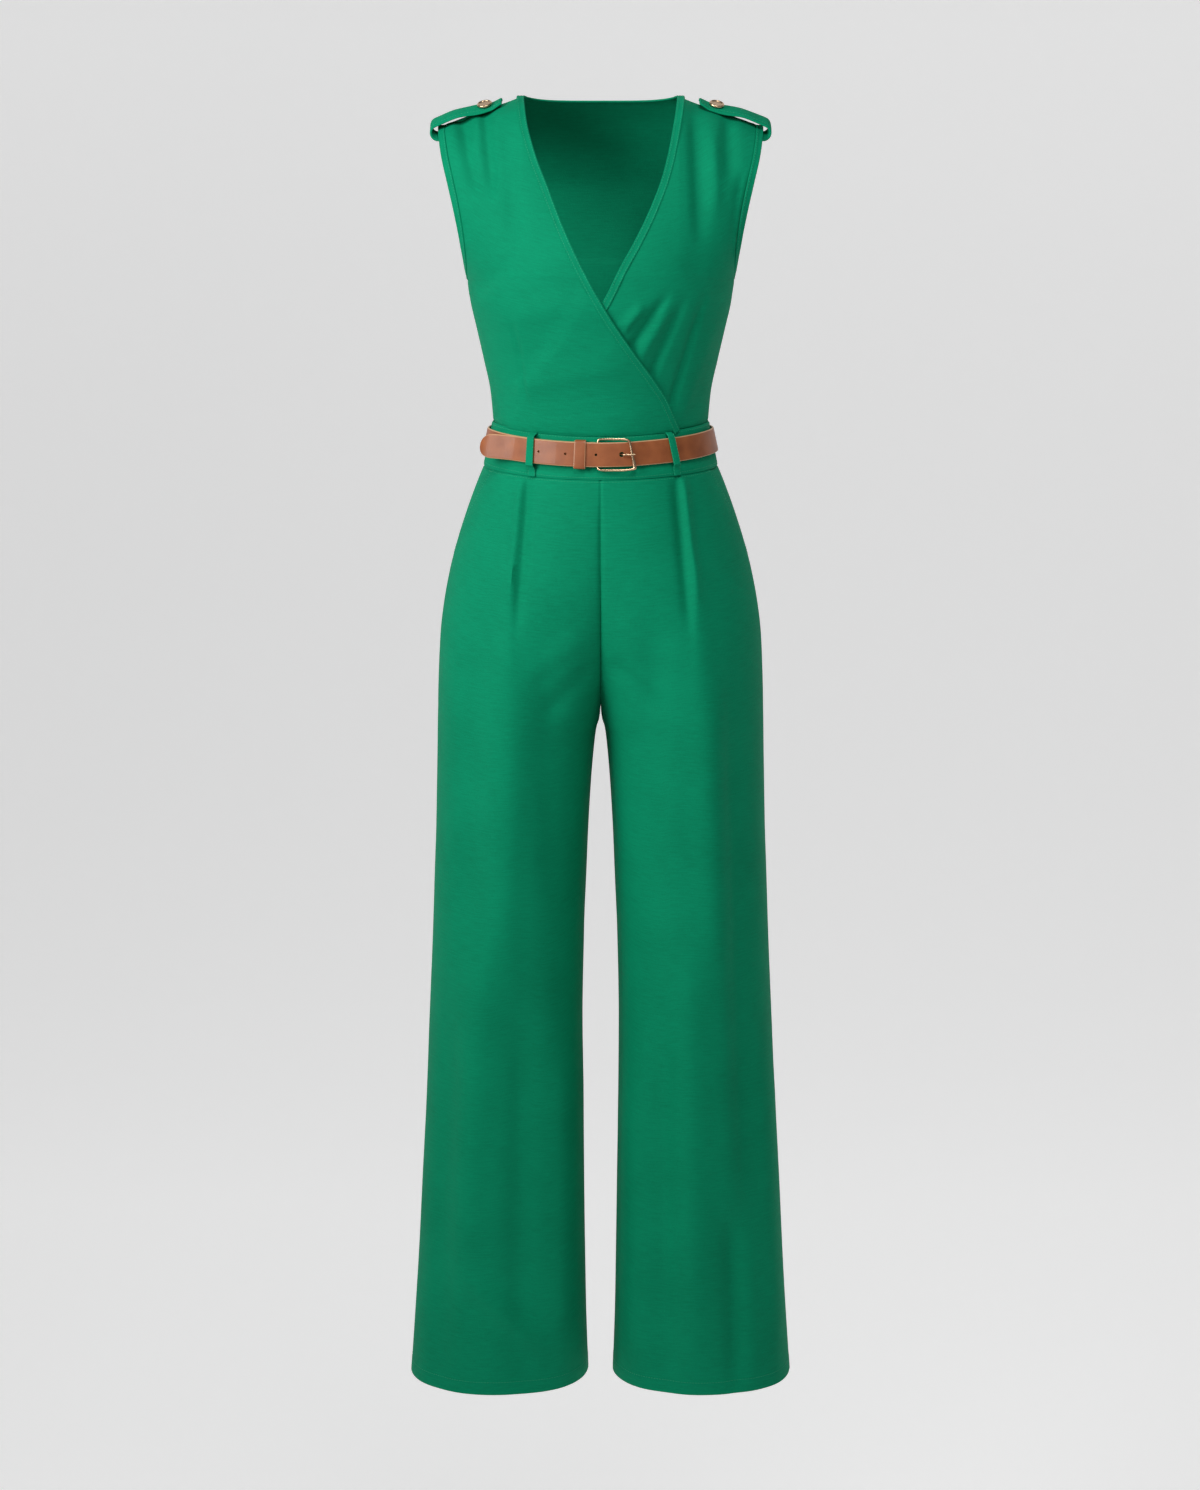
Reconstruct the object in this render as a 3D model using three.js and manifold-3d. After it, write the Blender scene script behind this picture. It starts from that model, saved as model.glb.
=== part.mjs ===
// Sleeveless wide-leg wrap jumpsuit with its own belt, filled out and hollow.
// Millimetres. +X is the wearer's left, -Y the front, +Z up.
// The origin is midway between the two shoulder seams, where the garment is held.
import * as THREE from "three";
import Module from "manifold-3d";

const wasm = await Module();
wasm.setup();

// Driving sizes
const CLOTH = 1.2;
const SEAM_GAP = 0.35;
const BAND = 1.8;
const BINDING_WIDTH = 8.5;
const ARM_BINDING_WIDTH = 6.5;
const NECK_HALF = 84;
const NECK_Z = 21;
const SHOULDER_SLOPE = 42 / 93;
const WAIST_SIDE_Z = -335;
const WAIST_DIP = 7;
const WAISTBAND_SIDE_Z = -384;
const WAISTBAND_DIP = 5;
const BELT_HEIGHT = 26;
const BELT_THICK = 2.2;
const BELT_SIDE_Z = -354.5;
const BELT_DIP = 7;
const BASE_LAYER = 1.9;
const TAIL_LAYER = 4.7;
const PI = Math.PI;

// Bodice sections. level runs from 0 at the waist seam to 1 at the shoulder seam.
// half: half width, front and back: depths, edge: how far each armhole edge stands from
// the side line, power: fullness of the oval section.
const BODICE = [
  { level: 0.0, half: 119.5, front: 96, back: 92, edge: 0.2, power: 2 },
  { level: 0.1, half: 122.6, front: 104, back: 96, edge: 0.2, power: 2.02 },
  { level: 0.2, half: 129.5, front: 113, back: 102, edge: 0.2, power: 2.08 },
  { level: 0.3, half: 136.8, front: 123, back: 107, edge: 0.2, power: 2.18 },
  { level: 0.4, half: 144.0, front: 130, back: 110, edge: 0.2, power: 2.3 },
  { level: 0.468, half: 147.0, front: 130, back: 111, edge: 0.2, power: 2.35 },
  { level: 0.474, half: 147.0, front: 130, back: 111, edge: 13, power: 2.35 },
  { level: 0.484, half: 147.0, front: 129, back: 112, edge: 22, power: 2.34 },
  { level: 0.5, half: 147.0, front: 128, back: 112, edge: 31, power: 2.32 },
  { level: 0.53, half: 147.2, front: 126, back: 112, edge: 43, power: 2.24 },
  { level: 0.6, half: 149.0, front: 118, back: 112, edge: 57, power: 2.06 },
  { level: 0.7, half: 153.5, front: 102, back: 110, edge: 62, power: 2 },
  { level: 0.8, half: 160.0, front: 84, back: 100, edge: 56, power: 2 },
  { level: 0.9, half: 167.0, front: 60, back: 80, edge: 42, power: 2 },
  { level: 0.96, half: 170.0, front: 38, back: 58, edge: 27, power: 2 },
  { level: 0.985, half: 171.0, front: 20, back: 42, edge: 14, power: 2 },
  { level: 1.0, half: 171.0, front: 0.2, back: 0.2, edge: 0.2, power: 2 },
];
const BODICE_LEVELS = [
  0, 0.07, 0.14, 0.21, 0.28, 0.35, 0.42, 0.468, 0.474, 0.484, 0.5, 0.53, 0.58, 0.64, 0.7, 0.77,
  0.84, 0.9, 0.94, 0.965, 0.985, 1,
];
const UNDERARM_ROW = 7;

// Free edge of each wrap front, across against height. The left one lies beneath.
const OVER_EDGE = [
  { z: -345, across: 88 },
  { z: -327, across: 80.5 },
  { z: -303, across: 70.4 },
  { z: -281, across: 57 },
  { z: -255, across: 38.7 },
  { z: -228, across: 20.4 },
  { z: -202, across: 3.7 },
  { z: -152, across: -23.7 },
  { z: -117, across: -40 },
  { z: -76, across: -56.3 },
  { z: -42, across: -69.9 },
  { z: -9, across: -79.3 },
  { z: 22, across: -84 },
];
const UNDER_EDGE = [
  { z: -345, across: -88 },
  { z: -303, across: -67 },
  { z: -255, across: -36 },
  { z: -220, across: -13 },
  { z: -193, across: 3.7 },
  { z: -160, across: 20.2 },
  { z: -131, across: 36.6 },
  { z: -98, across: 53 },
  { z: -63, across: 66.6 },
  { z: -31, across: 74.6 },
  { z: 9, across: 82 },
  { z: 22, across: 84 },
];
const OVER_LIFT = 2.5;

// Trouser sections from the waistband down. half: outer half width, gap: half the space
// between the legs, join: 0 where the legs share one section, 1 where each is closed.
const TROUSER = [
  { z: -384, half: 130.4, gap: 0.2, join: 0, front: 106, back: 101 },
  { z: -401, half: 137.5, gap: 0.2, join: 0.02, front: 109, back: 107 },
  { z: -435, half: 150.1, gap: 0.2, join: 0.08, front: 113, back: 117 },
  { z: -469, half: 161.0, gap: 0.2, join: 0.16, front: 116, back: 125 },
  { z: -503, half: 169.7, gap: 0.2, join: 0.27, front: 118, back: 131 },
  { z: -537, half: 176.2, gap: 0.2, join: 0.4, front: 119, back: 134 },
  { z: -571, half: 180.5, gap: 0.2, join: 0.56, front: 119, back: 135 },
  { z: -605, half: 182.5, gap: 0.2, join: 0.74, front: 117, back: 131 },
  { z: -640, half: 183.9, gap: 0.2, join: 0.92, front: 114, back: 126 },
  { z: -658, half: 184.3, gap: 0.3, join: 0.98, front: 113, back: 123 },
  { z: -667, half: 184.6, gap: 0.8, join: 1, front: 112, back: 122 },
  { z: -680, half: 184.9, gap: 4.6, join: 1, front: 111, back: 120 },
  { z: -709, half: 185.5, gap: 8.0, join: 1, front: 109, back: 116 },
  { z: -744, half: 186.4, gap: 10.8, join: 1, front: 107, back: 112 },
  { z: -796, half: 187.8, gap: 13.8, join: 1, front: 104, back: 107 },
  { z: -849, half: 190.0, gap: 16.0, join: 1, front: 102, back: 103 },
  { z: -920, half: 192.8, gap: 19.0, join: 1, front: 100, back: 100 },
  { z: -1027, half: 198.0, gap: 20.8, join: 1, front: 97, back: 97 },
  { z: -1118, half: 202.1, gap: 20.4, join: 1, front: 95, back: 95 },
  { z: -1209, half: 207.4, gap: 19.3, join: 1, front: 93, back: 93 },
  { z: -1301, half: 212.6, gap: 18.0, join: 1, front: 91, back: 91 },
  { z: -1375, half: 217.7, gap: 16.8, join: 1, front: 90, back: 90 },
  { z: -1451, half: 223.3, gap: 14.4, join: 1, front: 89, back: 89 },
];
const LEG_COLUMNS = 12;
const LEG_POWER = 2.17;
const PLEAT = { across: 85, spread: 15, lean: 0.09, height: 2.6, top: -392, foot: -600 };
const POCKET = { angle: 0.37, foot: -485, recess: 0.8, gap: 0.004 };

// Reads one column of a table by smooth interpolation that never overshoots.
function read(table, key, column, at) {
  const turned = table[0][key] > table[table.length - 1][key];
  const rows = turned ? [...table].reverse() : table;
  const last = rows.length - 1;
  if (at <= rows[0][key]) return rows[0][column];
  if (at >= rows[last][key]) return rows[last][column];
  let i = 0;
  while (rows[i + 1][key] < at) i += 1;
  const slope = (j) => (rows[j + 1][column] - rows[j][column]) / (rows[j + 1][key] - rows[j][key]);
  const tangent = (j) => {
    if (j === 0) return slope(0);
    if (j === last) return slope(last - 1);
    const before = slope(j - 1);
    const after = slope(j);
    return before * after <= 0 ? 0 : (2 * before * after) / (before + after);
  };
  const width = rows[i + 1][key] - rows[i][key];
  const t = (at - rows[i][key]) / width;
  const fromStart = (1 + 2 * t) * (1 - t) ** 2 * rows[i][column] + t * (1 - t) ** 2 * width * tangent(i);
  const fromEnd = t * t * (3 - 2 * t) * rows[i + 1][column] - t * t * (1 - t) * width * tangent(i + 1);
  return fromStart + fromEnd;
}

function smooth(t) {
  const s = Math.min(1, Math.max(0, t));
  return s * s * (3 - 2 * s);
}

// Closed body between two grids of points. A looped grid joins its last column to its first.
function wall(outer, inner, looped = false) {
  const rows = outer.length;
  const columns = outer[0].length;
  const points = [...outer.flat(), ...inner.flat()];
  const far = rows * columns;
  const at = (r, c) => r * columns + (c % columns);
  const faces = [];
  const quad = (a, b, c, d) => faces.push(a, b, c, a, c, d);
  const span = looped ? columns : columns - 1;
  for (let r = 0; r < rows - 1; r += 1) {
    for (let c = 0; c < span; c += 1) {
      quad(at(r, c), at(r, c + 1), at(r + 1, c + 1), at(r + 1, c));
      quad(far + at(r, c), far + at(r + 1, c), far + at(r + 1, c + 1), far + at(r, c + 1));
    }
  }
  for (let c = 0; c < span; c += 1) {
    const top = rows - 1;
    quad(at(0, c + 1), at(0, c), far + at(0, c), far + at(0, c + 1));
    quad(at(top, c), at(top, c + 1), far + at(top, c + 1), far + at(top, c));
  }
  if (!looped) {
    const end = columns - 1;
    for (let r = 0; r < rows - 1; r += 1) {
      quad(at(r, 0), at(r + 1, 0), far + at(r + 1, 0), far + at(r, 0));
      quad(at(r + 1, end), at(r, end), far + at(r, end), far + at(r + 1, end));
    }
  }
  return body(points, faces);
}

// Geometry with its faces turned outwards.
function body(points, faces) {
  let volume = 0;
  for (let i = 0; i < faces.length; i += 3) {
    const [a, b, c] = [points[faces[i]], points[faces[i + 1]], points[faces[i + 2]]];
    volume += a.dot(new THREE.Vector3().crossVectors(b, c));
  }
  const order = [...faces];
  if (volume < 0) {
    for (let i = 0; i < order.length; i += 3) {
      [order[i + 1], order[i + 2]] = [order[i + 2], order[i + 1]];
    }
  }
  const geometry = new THREE.BufferGeometry();
  geometry.setAttribute("position", new THREE.Float32BufferAttribute(points.flatMap((p) => p.toArray()), 3));
  geometry.setIndex(order);
  geometry.computeVertexNormals();
  return geometry;
}

// Point and outward normal of a surface given as a function of two values.
function sample(surface, u, v, outward) {
  const step = 0.002;
  const point = surface(u, v);
  const alongU = surface(u + step, v).sub(surface(u - step, v));
  const alongV = surface(u, v + step).sub(surface(u, v - step));
  const normal = alongU.cross(alongV);
  if (normal.dot(outward(point)) < 0) normal.negate();
  return { point, normal: normal.normalize() };
}

const shift = (place, distance) => place.point.clone().addScaledVector(place.normal, distance);

// Bodice surface: side is -1 at the front and 1 at the back, xi runs from -1 to 1 across.
function shoulderHeight(x) {
  return NECK_Z - SHOULDER_SLOPE * Math.max(0, Math.abs(x) - NECK_HALF);
}

function bodicePoint(side, xi, level) {
  const held = Math.min(level, 1);
  const half = read(BODICE, "level", "half", held);
  const depth = read(BODICE, "level", side < 0 ? "front" : "back", held);
  const edge = read(BODICE, "level", "edge", held);
  const power = read(BODICE, "level", "power", held);
  const across = Math.min(1, Math.abs(xi));
  const x = half * xi;
  const cut = 1 - (edge / depth) ** power;
  const y = depth * (1 - cut * across ** power) ** (1 / power);
  const waist = WAIST_SIDE_Z - (side < 0 ? WAIST_DIP * (1 - across * across) : 0);
  const z = waist + (shoulderHeight(x) - waist) * held;
  return new THREE.Vector3(x, side * y, z);
}

function bodice(side, xi, level) {
  const turn = Math.asin(Math.max(-1, Math.min(1, xi)));
  const surface = (a, h) => bodicePoint(side, Math.sin(a), h);
  const inside = Math.max(-PI / 2 + 0.004, Math.min(PI / 2 - 0.004, turn));
  const held = Math.min(0.996, Math.max(0.003, level));
  const outward = (p) => new THREE.Vector3(p.x * 0.6, p.y, level > 0.95 ? 60 : 0);
  const place = sample(surface, inside, held, outward);
  place.point = bodicePoint(side, xi, level);
  if (level >= 1) place.normal.set(0, 0, 1);
  if (Math.abs(xi) >= 1 && level <= 0.469) place.normal.set(Math.sign(xi), 0, 0);
  return place;
}

// Across position of a wrap edge on one level, found by repeated reading.
function wrapEdge(table, level) {
  const half = read(BODICE, "level", "half", level);
  let xi = 0;
  for (let i = 0; i < 40; i += 1) {
    const z = bodicePoint(-1, xi, level).z;
    xi = 0.5 * xi + (0.5 * read(table, "z", "across", z)) / half;
  }
  return xi * half;
}

function overLift(x, z) {
  const start = read(UNDER_EDGE, "z", "across", z) - 47;
  return OVER_LIFT * smooth((x - start) / 20);
}

// Part of a wrap front between its side seam and a line beside its free edge.
function wrapPanel(sign, table, from, to, columns, thick, proud) {
  const outer = [];
  const inner = [];
  for (const level of BODICE_LEVELS) {
    const half = read(BODICE, "level", "half", level);
    const edge = wrapEdge(table, level);
    const start = from === null ? -sign * PI / 2 : Math.asin((edge - sign * from) / half);
    const end = Math.asin((edge - sign * to) / half);
    const outerRow = [];
    const innerRow = [];
    for (let c = 0; c <= columns; c += 1) {
      const turn = start + ((end - start) * c) / columns;
      const xi = Math.abs(turn) > PI / 2 - 1e-6 ? Math.sign(turn) : Math.sin(turn);
      const place = bodice(-1, xi, level);
      const lift = sign > 0 ? overLift(place.point.x, place.point.z) : 0;
      outerRow.push(shift(place, lift + proud));
      innerRow.push(shift(place, lift + proud - thick));
    }
    outer.push(outerRow);
    inner.push(innerRow);
  }
  return wall(outer, inner);
}

// Back bodice levels dip between the neck points for the back neckline.
const BACK_NECK_DROP = 0.019;

function backTop(xi) {
  const neck = NECK_HALF / read(BODICE, "level", "half", 1);
  const t = Math.min(1, Math.abs(xi) / neck);
  return 1 - BACK_NECK_DROP * (1 - t ** 4) ** 0.5;
}

// Level that lies a given distance down the back from the neckline.
function neckLevel(xi, distance) {
  const top = backTop(xi);
  const rim = bodicePoint(1, xi, top);
  let low = 0.8;
  let high = top;
  for (let i = 0; i < 30; i += 1) {
    const level = (low + high) / 2;
    if (bodicePoint(1, xi, level).distanceTo(rim) > distance) low = level;
    else high = level;
  }
  return low;
}

function backLevel(xi, level) {
  const start = 0.85;
  const top = Math.abs(xi) < NECK_HALF / 171 + 1e-6 ? neckLevel(xi, BINDING_WIDTH + 1.4) : 1;
  return level <= start ? level : start + ((level - start) / (1 - start)) * (top - start);
}

function backColumns() {
  const neck = Math.asin(NECK_HALF / 171);
  const turns = [];
  for (let i = -6; i <= 6; i += 1) turns.push((i / 6) * neck);
  for (let i = 1; i <= 6; i += 1) {
    const turn = neck + ((PI / 2 - neck) * i) / 6;
    turns.push(turn);
    turns.unshift(-turn);
  }
  return turns.map((turn) => (Math.abs(turn) > PI / 2 - 1e-6 ? Math.sign(turn) : Math.sin(turn)));
}

function backPanel() {
  const outer = [];
  const inner = [];
  for (const level of BODICE_LEVELS) {
    const row = backColumns().map((xi) => bodice(1, xi, backLevel(xi, level)));
    outer.push(row.map((place) => shift(place, 0)));
    inner.push(row.map((place) => shift(place, -CLOTH)));
  }
  return wall(outer, inner);
}

function backNeckBinding() {
  const outer = [];
  const inner = [];
  const reach = NECK_HALF / 171;
  for (let r = 0; r <= 2; r += 1) {
    const outerRow = [];
    const innerRow = [];
    for (let c = -6; c <= 6; c += 1) {
      const xi = Math.sin((Math.asin(reach) * c) / 6);
      const place = bodice(1, xi, neckLevel(xi, (BINDING_WIDTH * (2 - r)) / 2));
      place.point.x *= 0.993;
      place.normal.y = Math.max(place.normal.y, 0);
      outerRow.push(shift(place, 0.3));
      innerRow.push(shift(place, 0.3 - BAND));
    }
    outer.push(outerRow);
    inner.push(innerRow);
  }
  return wall(outer, inner);
}

// Armhole binding: a closed band that stands beyond the armhole edges of front and back.
function armholeRing() {
  const ring = [];
  for (let i = UNDERARM_ROW; i < BODICE_LEVELS.length; i += 1) ring.push(bodice(-1, 1, BODICE_LEVELS[i]));
  for (let i = BODICE_LEVELS.length - 2; i > UNDERARM_ROW; i -= 1) ring.push(bodice(1, 1, BODICE_LEVELS[i]));
  ring[0].point.y = 0;
  ring[BODICE_LEVELS.length - 1 - UNDERARM_ROW].point.y = 0;
  return ring;
}

function armholeBinding(sign) {
  const ring = armholeRing();
  const count = ring.length;
  let frames = ring.map((place, i) => {
    const along = ring[(i + 1) % count].point.clone().sub(ring[(i + count - 1) % count].point).normalize();
    const away = new THREE.Vector3().crossVectors(place.normal, along).normalize();
    const centre = new THREE.Vector3(165, 0, -105);
    if (away.dot(centre.sub(place.point)) < 0) away.negate();
    return { normal: place.normal.clone(), away };
  });
  for (let pass = 0; pass < 2; pass += 1) {
    frames = frames.map((frame, i) => {
      const before = frames[(i + count - 1) % count];
      const after = frames[(i + 1) % count];
      const mix = (key) => frame[key].clone().multiplyScalar(2).add(before[key]).add(after[key]).normalize();
      return { normal: mix("normal"), away: mix("away") };
    });
  }
  const line = (reach, lift) => ring.map((place, i) => {
    const point = place.point.clone().addScaledVector(frames[i].away, reach).addScaledVector(frames[i].normal, lift);
    point.x *= sign;
    return point;
  });
  const near = 0.9;
  const far = ARM_BINDING_WIDTH + near;
  return wall([line(near, 0.3), line(far, 0.3)], [line(near, 0.3 - BAND), line(far, 0.3 - BAND)], true);
}

// Waistband surface, full round: turn runs from -90 to 90 degrees on each side.
function waistPoint(side, xi, down) {
  const half = 120.4 + 10.4 * down;
  const depth = (side < 0 ? 97 : 93) + (side < 0 ? 9.5 : 8.5) * down;
  const across = Math.min(1, Math.abs(xi));
  const dipTop = side < 0 ? WAIST_DIP * (1 - across * across) : 0;
  const dipFoot = side < 0 ? WAISTBAND_DIP * (1 - across * across) : 0;
  const top = WAIST_SIDE_Z - dipTop - SEAM_GAP;
  const foot = WAISTBAND_SIDE_Z - dipFoot + SEAM_GAP;
  const y = 0.2 + depth * Math.sqrt(1 - across * across);
  return new THREE.Vector3(half * xi, side * y, top + (foot - top) * down);
}

function waistNormal(side, xi) {
  const normal = new THREE.Vector3(xi / 125, (side * Math.sqrt(1 - xi * xi)) / 100, 0).normalize();
  normal.z = 0;
  return normal;
}

function waistPlace(side, xi, down) {
  return { point: waistPoint(side, xi, down), normal: waistNormal(side, xi) };
}

function waistband(side) {
  const outer = [];
  const inner = [];
  for (let r = 0; r <= 3; r += 1) {
    const row = [];
    for (let c = 0; c <= 28; c += 1) {
      const turn = (-PI / 2) + (PI * c) / 28;
      row.push(waistPlace(side, c % 28 === 0 ? Math.sign(turn) : Math.sin(turn), r / 3));
    }
    outer.push(row.map((place) => shift(place, 0)));
    inner.push(row.map((place) => shift(place, -BAND)));
  }
  return wall(outer, inner);
}

// Trouser leg surface for the wearer's left leg; angle runs from 0 at the side seam to 1
// at the centre seam or inseam.
function legEnd(z) {
  const join = read(TROUSER, "z", "join", z);
  return Math.acos(-Math.min(1, join));
}

function legPoint(side, angle, z) {
  const half = read(TROUSER, "z", "half", z);
  const gap = read(TROUSER, "z", "gap", z);
  const join = read(TROUSER, "z", "join", z);
  const depth = read(TROUSER, "z", side < 0 ? "front" : "back", z);
  const width = (half - gap) / (1 + join);
  const centre = half - width;
  const turn = Math.cos(angle);
  const power = 2 / LEG_POWER;
  const rounding = join ** 2;
  const swell = Math.sign(turn) * Math.abs(turn) ** (1 + (power - 1) * rounding);
  const fall = Math.abs(Math.sin(angle)) ** (1 + (power - 1) * rounding);
  return new THREE.Vector3(centre + width * swell, side * (0.2 + depth * fall), z);
}

function leg(side, angle, z) {
  const surface = (a, h) => legPoint(side, a, h * 100);
  const end = legEnd(z);
  const inside = Math.max(0.01, Math.min(end - 0.006, angle));
  const centre = (read(TROUSER, "z", "half", z) * read(TROUSER, "z", "join", z)) / 2;
  const outward = (p) => new THREE.Vector3(p.x - centre, p.y, 0);
  const place = sample(surface, inside, z / 100, outward);
  place.point = legPoint(side, angle, z);
  return place;
}

function pleatLift(side, point) {
  if (side > 0) return 0;
  const line = PLEAT.across + PLEAT.lean * (PLEAT.top - point.z);
  const away = (point.x - line) / PLEAT.spread;
  const fade = smooth((point.z - PLEAT.foot) / (PLEAT.top - PLEAT.foot));
  return PLEAT.height * fade * Math.exp(-away * away);
}

function waistFoot(side, x) {
  const xi = Math.min(1, Math.abs(x) / 130.8);
  return WAISTBAND_SIDE_Z - SEAM_GAP - (side < 0 ? WAISTBAND_DIP * (1 - xi * xi) : 0);
}

// Height of a trouser grid point: upper rows bend with the waistband seam.
function legHeight(side, x, z) {
  const weight = 1 - smooth((TROUSER[0].z - z) / 60);
  return z + (waistFoot(side, x) - TROUSER[0].z) * weight;
}

function pocketAngle(z) {
  return POCKET.angle * Math.max(0, (z - POCKET.foot) / (TROUSER[0].z - POCKET.foot));
}

const LEG_ROWS = TROUSER.flatMap((row, i) => {
  const next = TROUSER[i + 1];
  const wide = next && row.z - next.z > 60;
  return wide ? [row.z, (row.z + next.z) / 2] : [row.z];
});
const ROWS_WITH_POCKET = [...LEG_ROWS, POCKET.foot].sort((a, b) => b - a);

function legGrid(sign, side, rows, span, lifts) {
  const outer = [];
  const inner = [];
  for (const z of rows) {
    const [start, end, columns] = span(z);
    const outerRow = [];
    const innerRow = [];
    for (let c = 0; c <= columns; c += 1) {
      const place = leg(side, start + ((end - start) * c) / columns, z);
      place.point.z = legHeight(side, place.point.x, place.point.z);
      const lift = lifts(place.point, z);
      for (const [row, depth] of [[outerRow, lift], [innerRow, lift - CLOTH]]) {
        const point = shift(place, depth);
        point.z = place.point.z;
        point.x = Math.max(point.x, 0.2) * sign;
        row.push(point);
      }
    }
    outer.unshift(outerRow);
    inner.unshift(innerRow);
  }
  return wall(outer, inner);
}

function trouserPanel(sign, side) {
  const span = (z) => [side < 0 ? pocketAngle(z) : 0, legEnd(z), LEG_COLUMNS];
  return legGrid(sign, side, ROWS_WITH_POCKET, span, (point) => pleatLift(side, point));
}

function pocketFacing(sign) {
  const rows = [0, 0.25, 0.5, 0.75, 0.955].map((t) => TROUSER[0].z + (POCKET.foot - TROUSER[0].z) * t);
  const span = (z) => [0, pocketAngle(z) - POCKET.gap, 3];
  return legGrid(sign, -1, rows, span, () => -POCKET.recess);
}

// Belt: places round the waistband from a signed turn, 0 at the front centre and growing
// towards the wearer's left, the whole way round being two pi.
function beltPlace(turn, up = 0) {
  const xi = Math.sin(turn);
  const side = Math.cos(turn) > 0 ? -1 : 1;
  const place = waistPlace(side, xi, 0.4 - up / 48);
  place.point.z = BELT_SIDE_Z - (side < 0 ? BELT_DIP * (1 - xi * xi) : 0) + up;
  place.point.y -= side * 0.2;
  return place;
}

function beltTurn(x) {
  return Math.asin(x / 125.1);
}

const HINGE_X = -3;
const BAR_X = 31.5;
const PRONG_HOLE_X = 22;
const TAIL_TIP_TURN = -1.13;
const TAIL_FREE = 16;
const HOLE_X = [-65, -37, -5];

function beltGeometry() {
  const start = beltTurn(HINGE_X - 3);
  const end = TAIL_TIP_TURN - 2 * PI;
  const outer = [[], [], []];
  const inner = [[], [], []];
  const turns = [];
  const steps = 96;
  for (let i = 0; i <= steps; i += 1) turns.push(start + ((end - start) * i) / steps);
  for (let i = 1; i < 4; i += 1) turns.push(end + 0.014 * i);
  turns.sort((a, b) => b - a);
  for (const turn of turns) {
    const rise = smooth((turn + 2 * PI - beltTurn(52)) / (beltTurn(24) - beltTurn(52)));
    const tip = (turn - end) * 125;
    const free = TAIL_FREE * smooth(1 - tip / 56) ** 2;
    const layer = BASE_LAYER + (turn + 2 * PI < beltTurn(52) ? (TAIL_LAYER - BASE_LAYER) * rise + free : 0);
    const taper = tip < 15 ? Math.sqrt(Math.max(0.02, 1 - ((15 - tip) / 15.5) ** 2)) : 1;
    [-1, 0, 1].forEach((level, r) => {
      const place = beltPlace(turn, (-BELT_HEIGHT / 2) * taper * level);
      outer[r].push(shift(place, layer + BELT_THICK));
      inner[r].push(shift(place, layer));
    });
  }
  let solid = toManifold(wall(outer, inner));
  for (const x of [...HOLE_X, PRONG_HOLE_X]) {
    const place = beltPlace(beltTurn(x));
    const radius = x === PRONG_HOLE_X ? 2.8 : 1.5;
    const hole = new THREE.CylinderGeometry(radius, radius, 5.5, 12);
    const turned = new THREE.Quaternion().setFromUnitVectors(new THREE.Vector3(0, 1, 0), place.normal);
    hole.applyQuaternion(turned);
    const centre = shift(place, TAIL_LAYER + BELT_THICK / 2 + 1);
    hole.translate(centre.x, centre.y, centre.z);
    solid = solid.subtract(toManifold(hole));
  }
  return fromManifold(solid);
}

function toManifold(geometry) {
  const position = geometry.getAttribute("position");
  const names = new Map();
  const vertices = [];
  const renamed = [];
  for (let i = 0; i < position.count; i += 1) {
    const key = [position.getX(i), position.getY(i), position.getZ(i)].map((v) => Math.round(v * 1e4)).join();
    if (!names.has(key)) {
      names.set(key, vertices.length / 3);
      vertices.push(position.getX(i), position.getY(i), position.getZ(i));
    }
    renamed.push(names.get(key));
  }
  const triangles = [];
  const index = geometry.index.array;
  for (let i = 0; i < index.length; i += 3) {
    const [a, b, c] = [renamed[index[i]], renamed[index[i + 1]], renamed[index[i + 2]]];
    if (a !== b && b !== c && a !== c) triangles.push(a, b, c);
  }
  return new wasm.Manifold(new wasm.Mesh({
    numProp: 3,
    vertProperties: new Float32Array(vertices),
    triVerts: new Uint32Array(triangles),
  }));
}

function fromManifold(solid) {
  const mesh = solid.getMesh();
  const geometry = new THREE.BufferGeometry();
  geometry.setAttribute("position", new THREE.Float32BufferAttribute(mesh.vertProperties, 3));
  geometry.setIndex([...mesh.triVerts]);
  geometry.computeVertexNormals();
  return geometry;
}

// Belt loop: a narrow strip from waistband top to foot that bridges the belt.
// share is how much of its full clearance the strip has at each place down the waistband.
const LOOP_WIDTH = 9;
const LOOP_THICK = 1.6;
const LOOP_PROFILE = [
  { down: 0.01, share: 0.05 },
  { down: 0.05, share: 0.6 },
  { down: 0.09, share: 1 },
  { down: 0.25, share: 1.03 },
  { down: 0.4, share: 1.03 },
  { down: 0.55, share: 1.03 },
  { down: 0.72, share: 1 },
  { down: 0.78, share: 0.5 },
  { down: 0.88, share: 0.1 },
  { down: 0.99, share: 0.05 },
];

function beltLoop(turn, clear, lean) {
  const outer = [];
  const inner = [];
  for (const { down, share } of LOOP_PROFILE) {
    const outerRow = [];
    const innerRow = [];
    for (const edge of [-1, 0, 1]) {
      const at = turn + (edge * LOOP_WIDTH) / 250 + (lean * (down - 0.5)) / 125;
      const place = beltPlace(at);
      const base = waistPlace(Math.cos(at) > 0 ? -1 : 1, Math.sin(at), down);
      const stand = 0.4 + (clear - 0.4) * share;
      outerRow.push(shift({ point: base.point, normal: place.normal }, stand + LOOP_THICK));
      innerRow.push(shift({ point: base.point, normal: place.normal }, stand));
    }
    outer.push(outerRow);
    inner.push(innerRow);
  }
  return wall(outer, inner);
}

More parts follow.
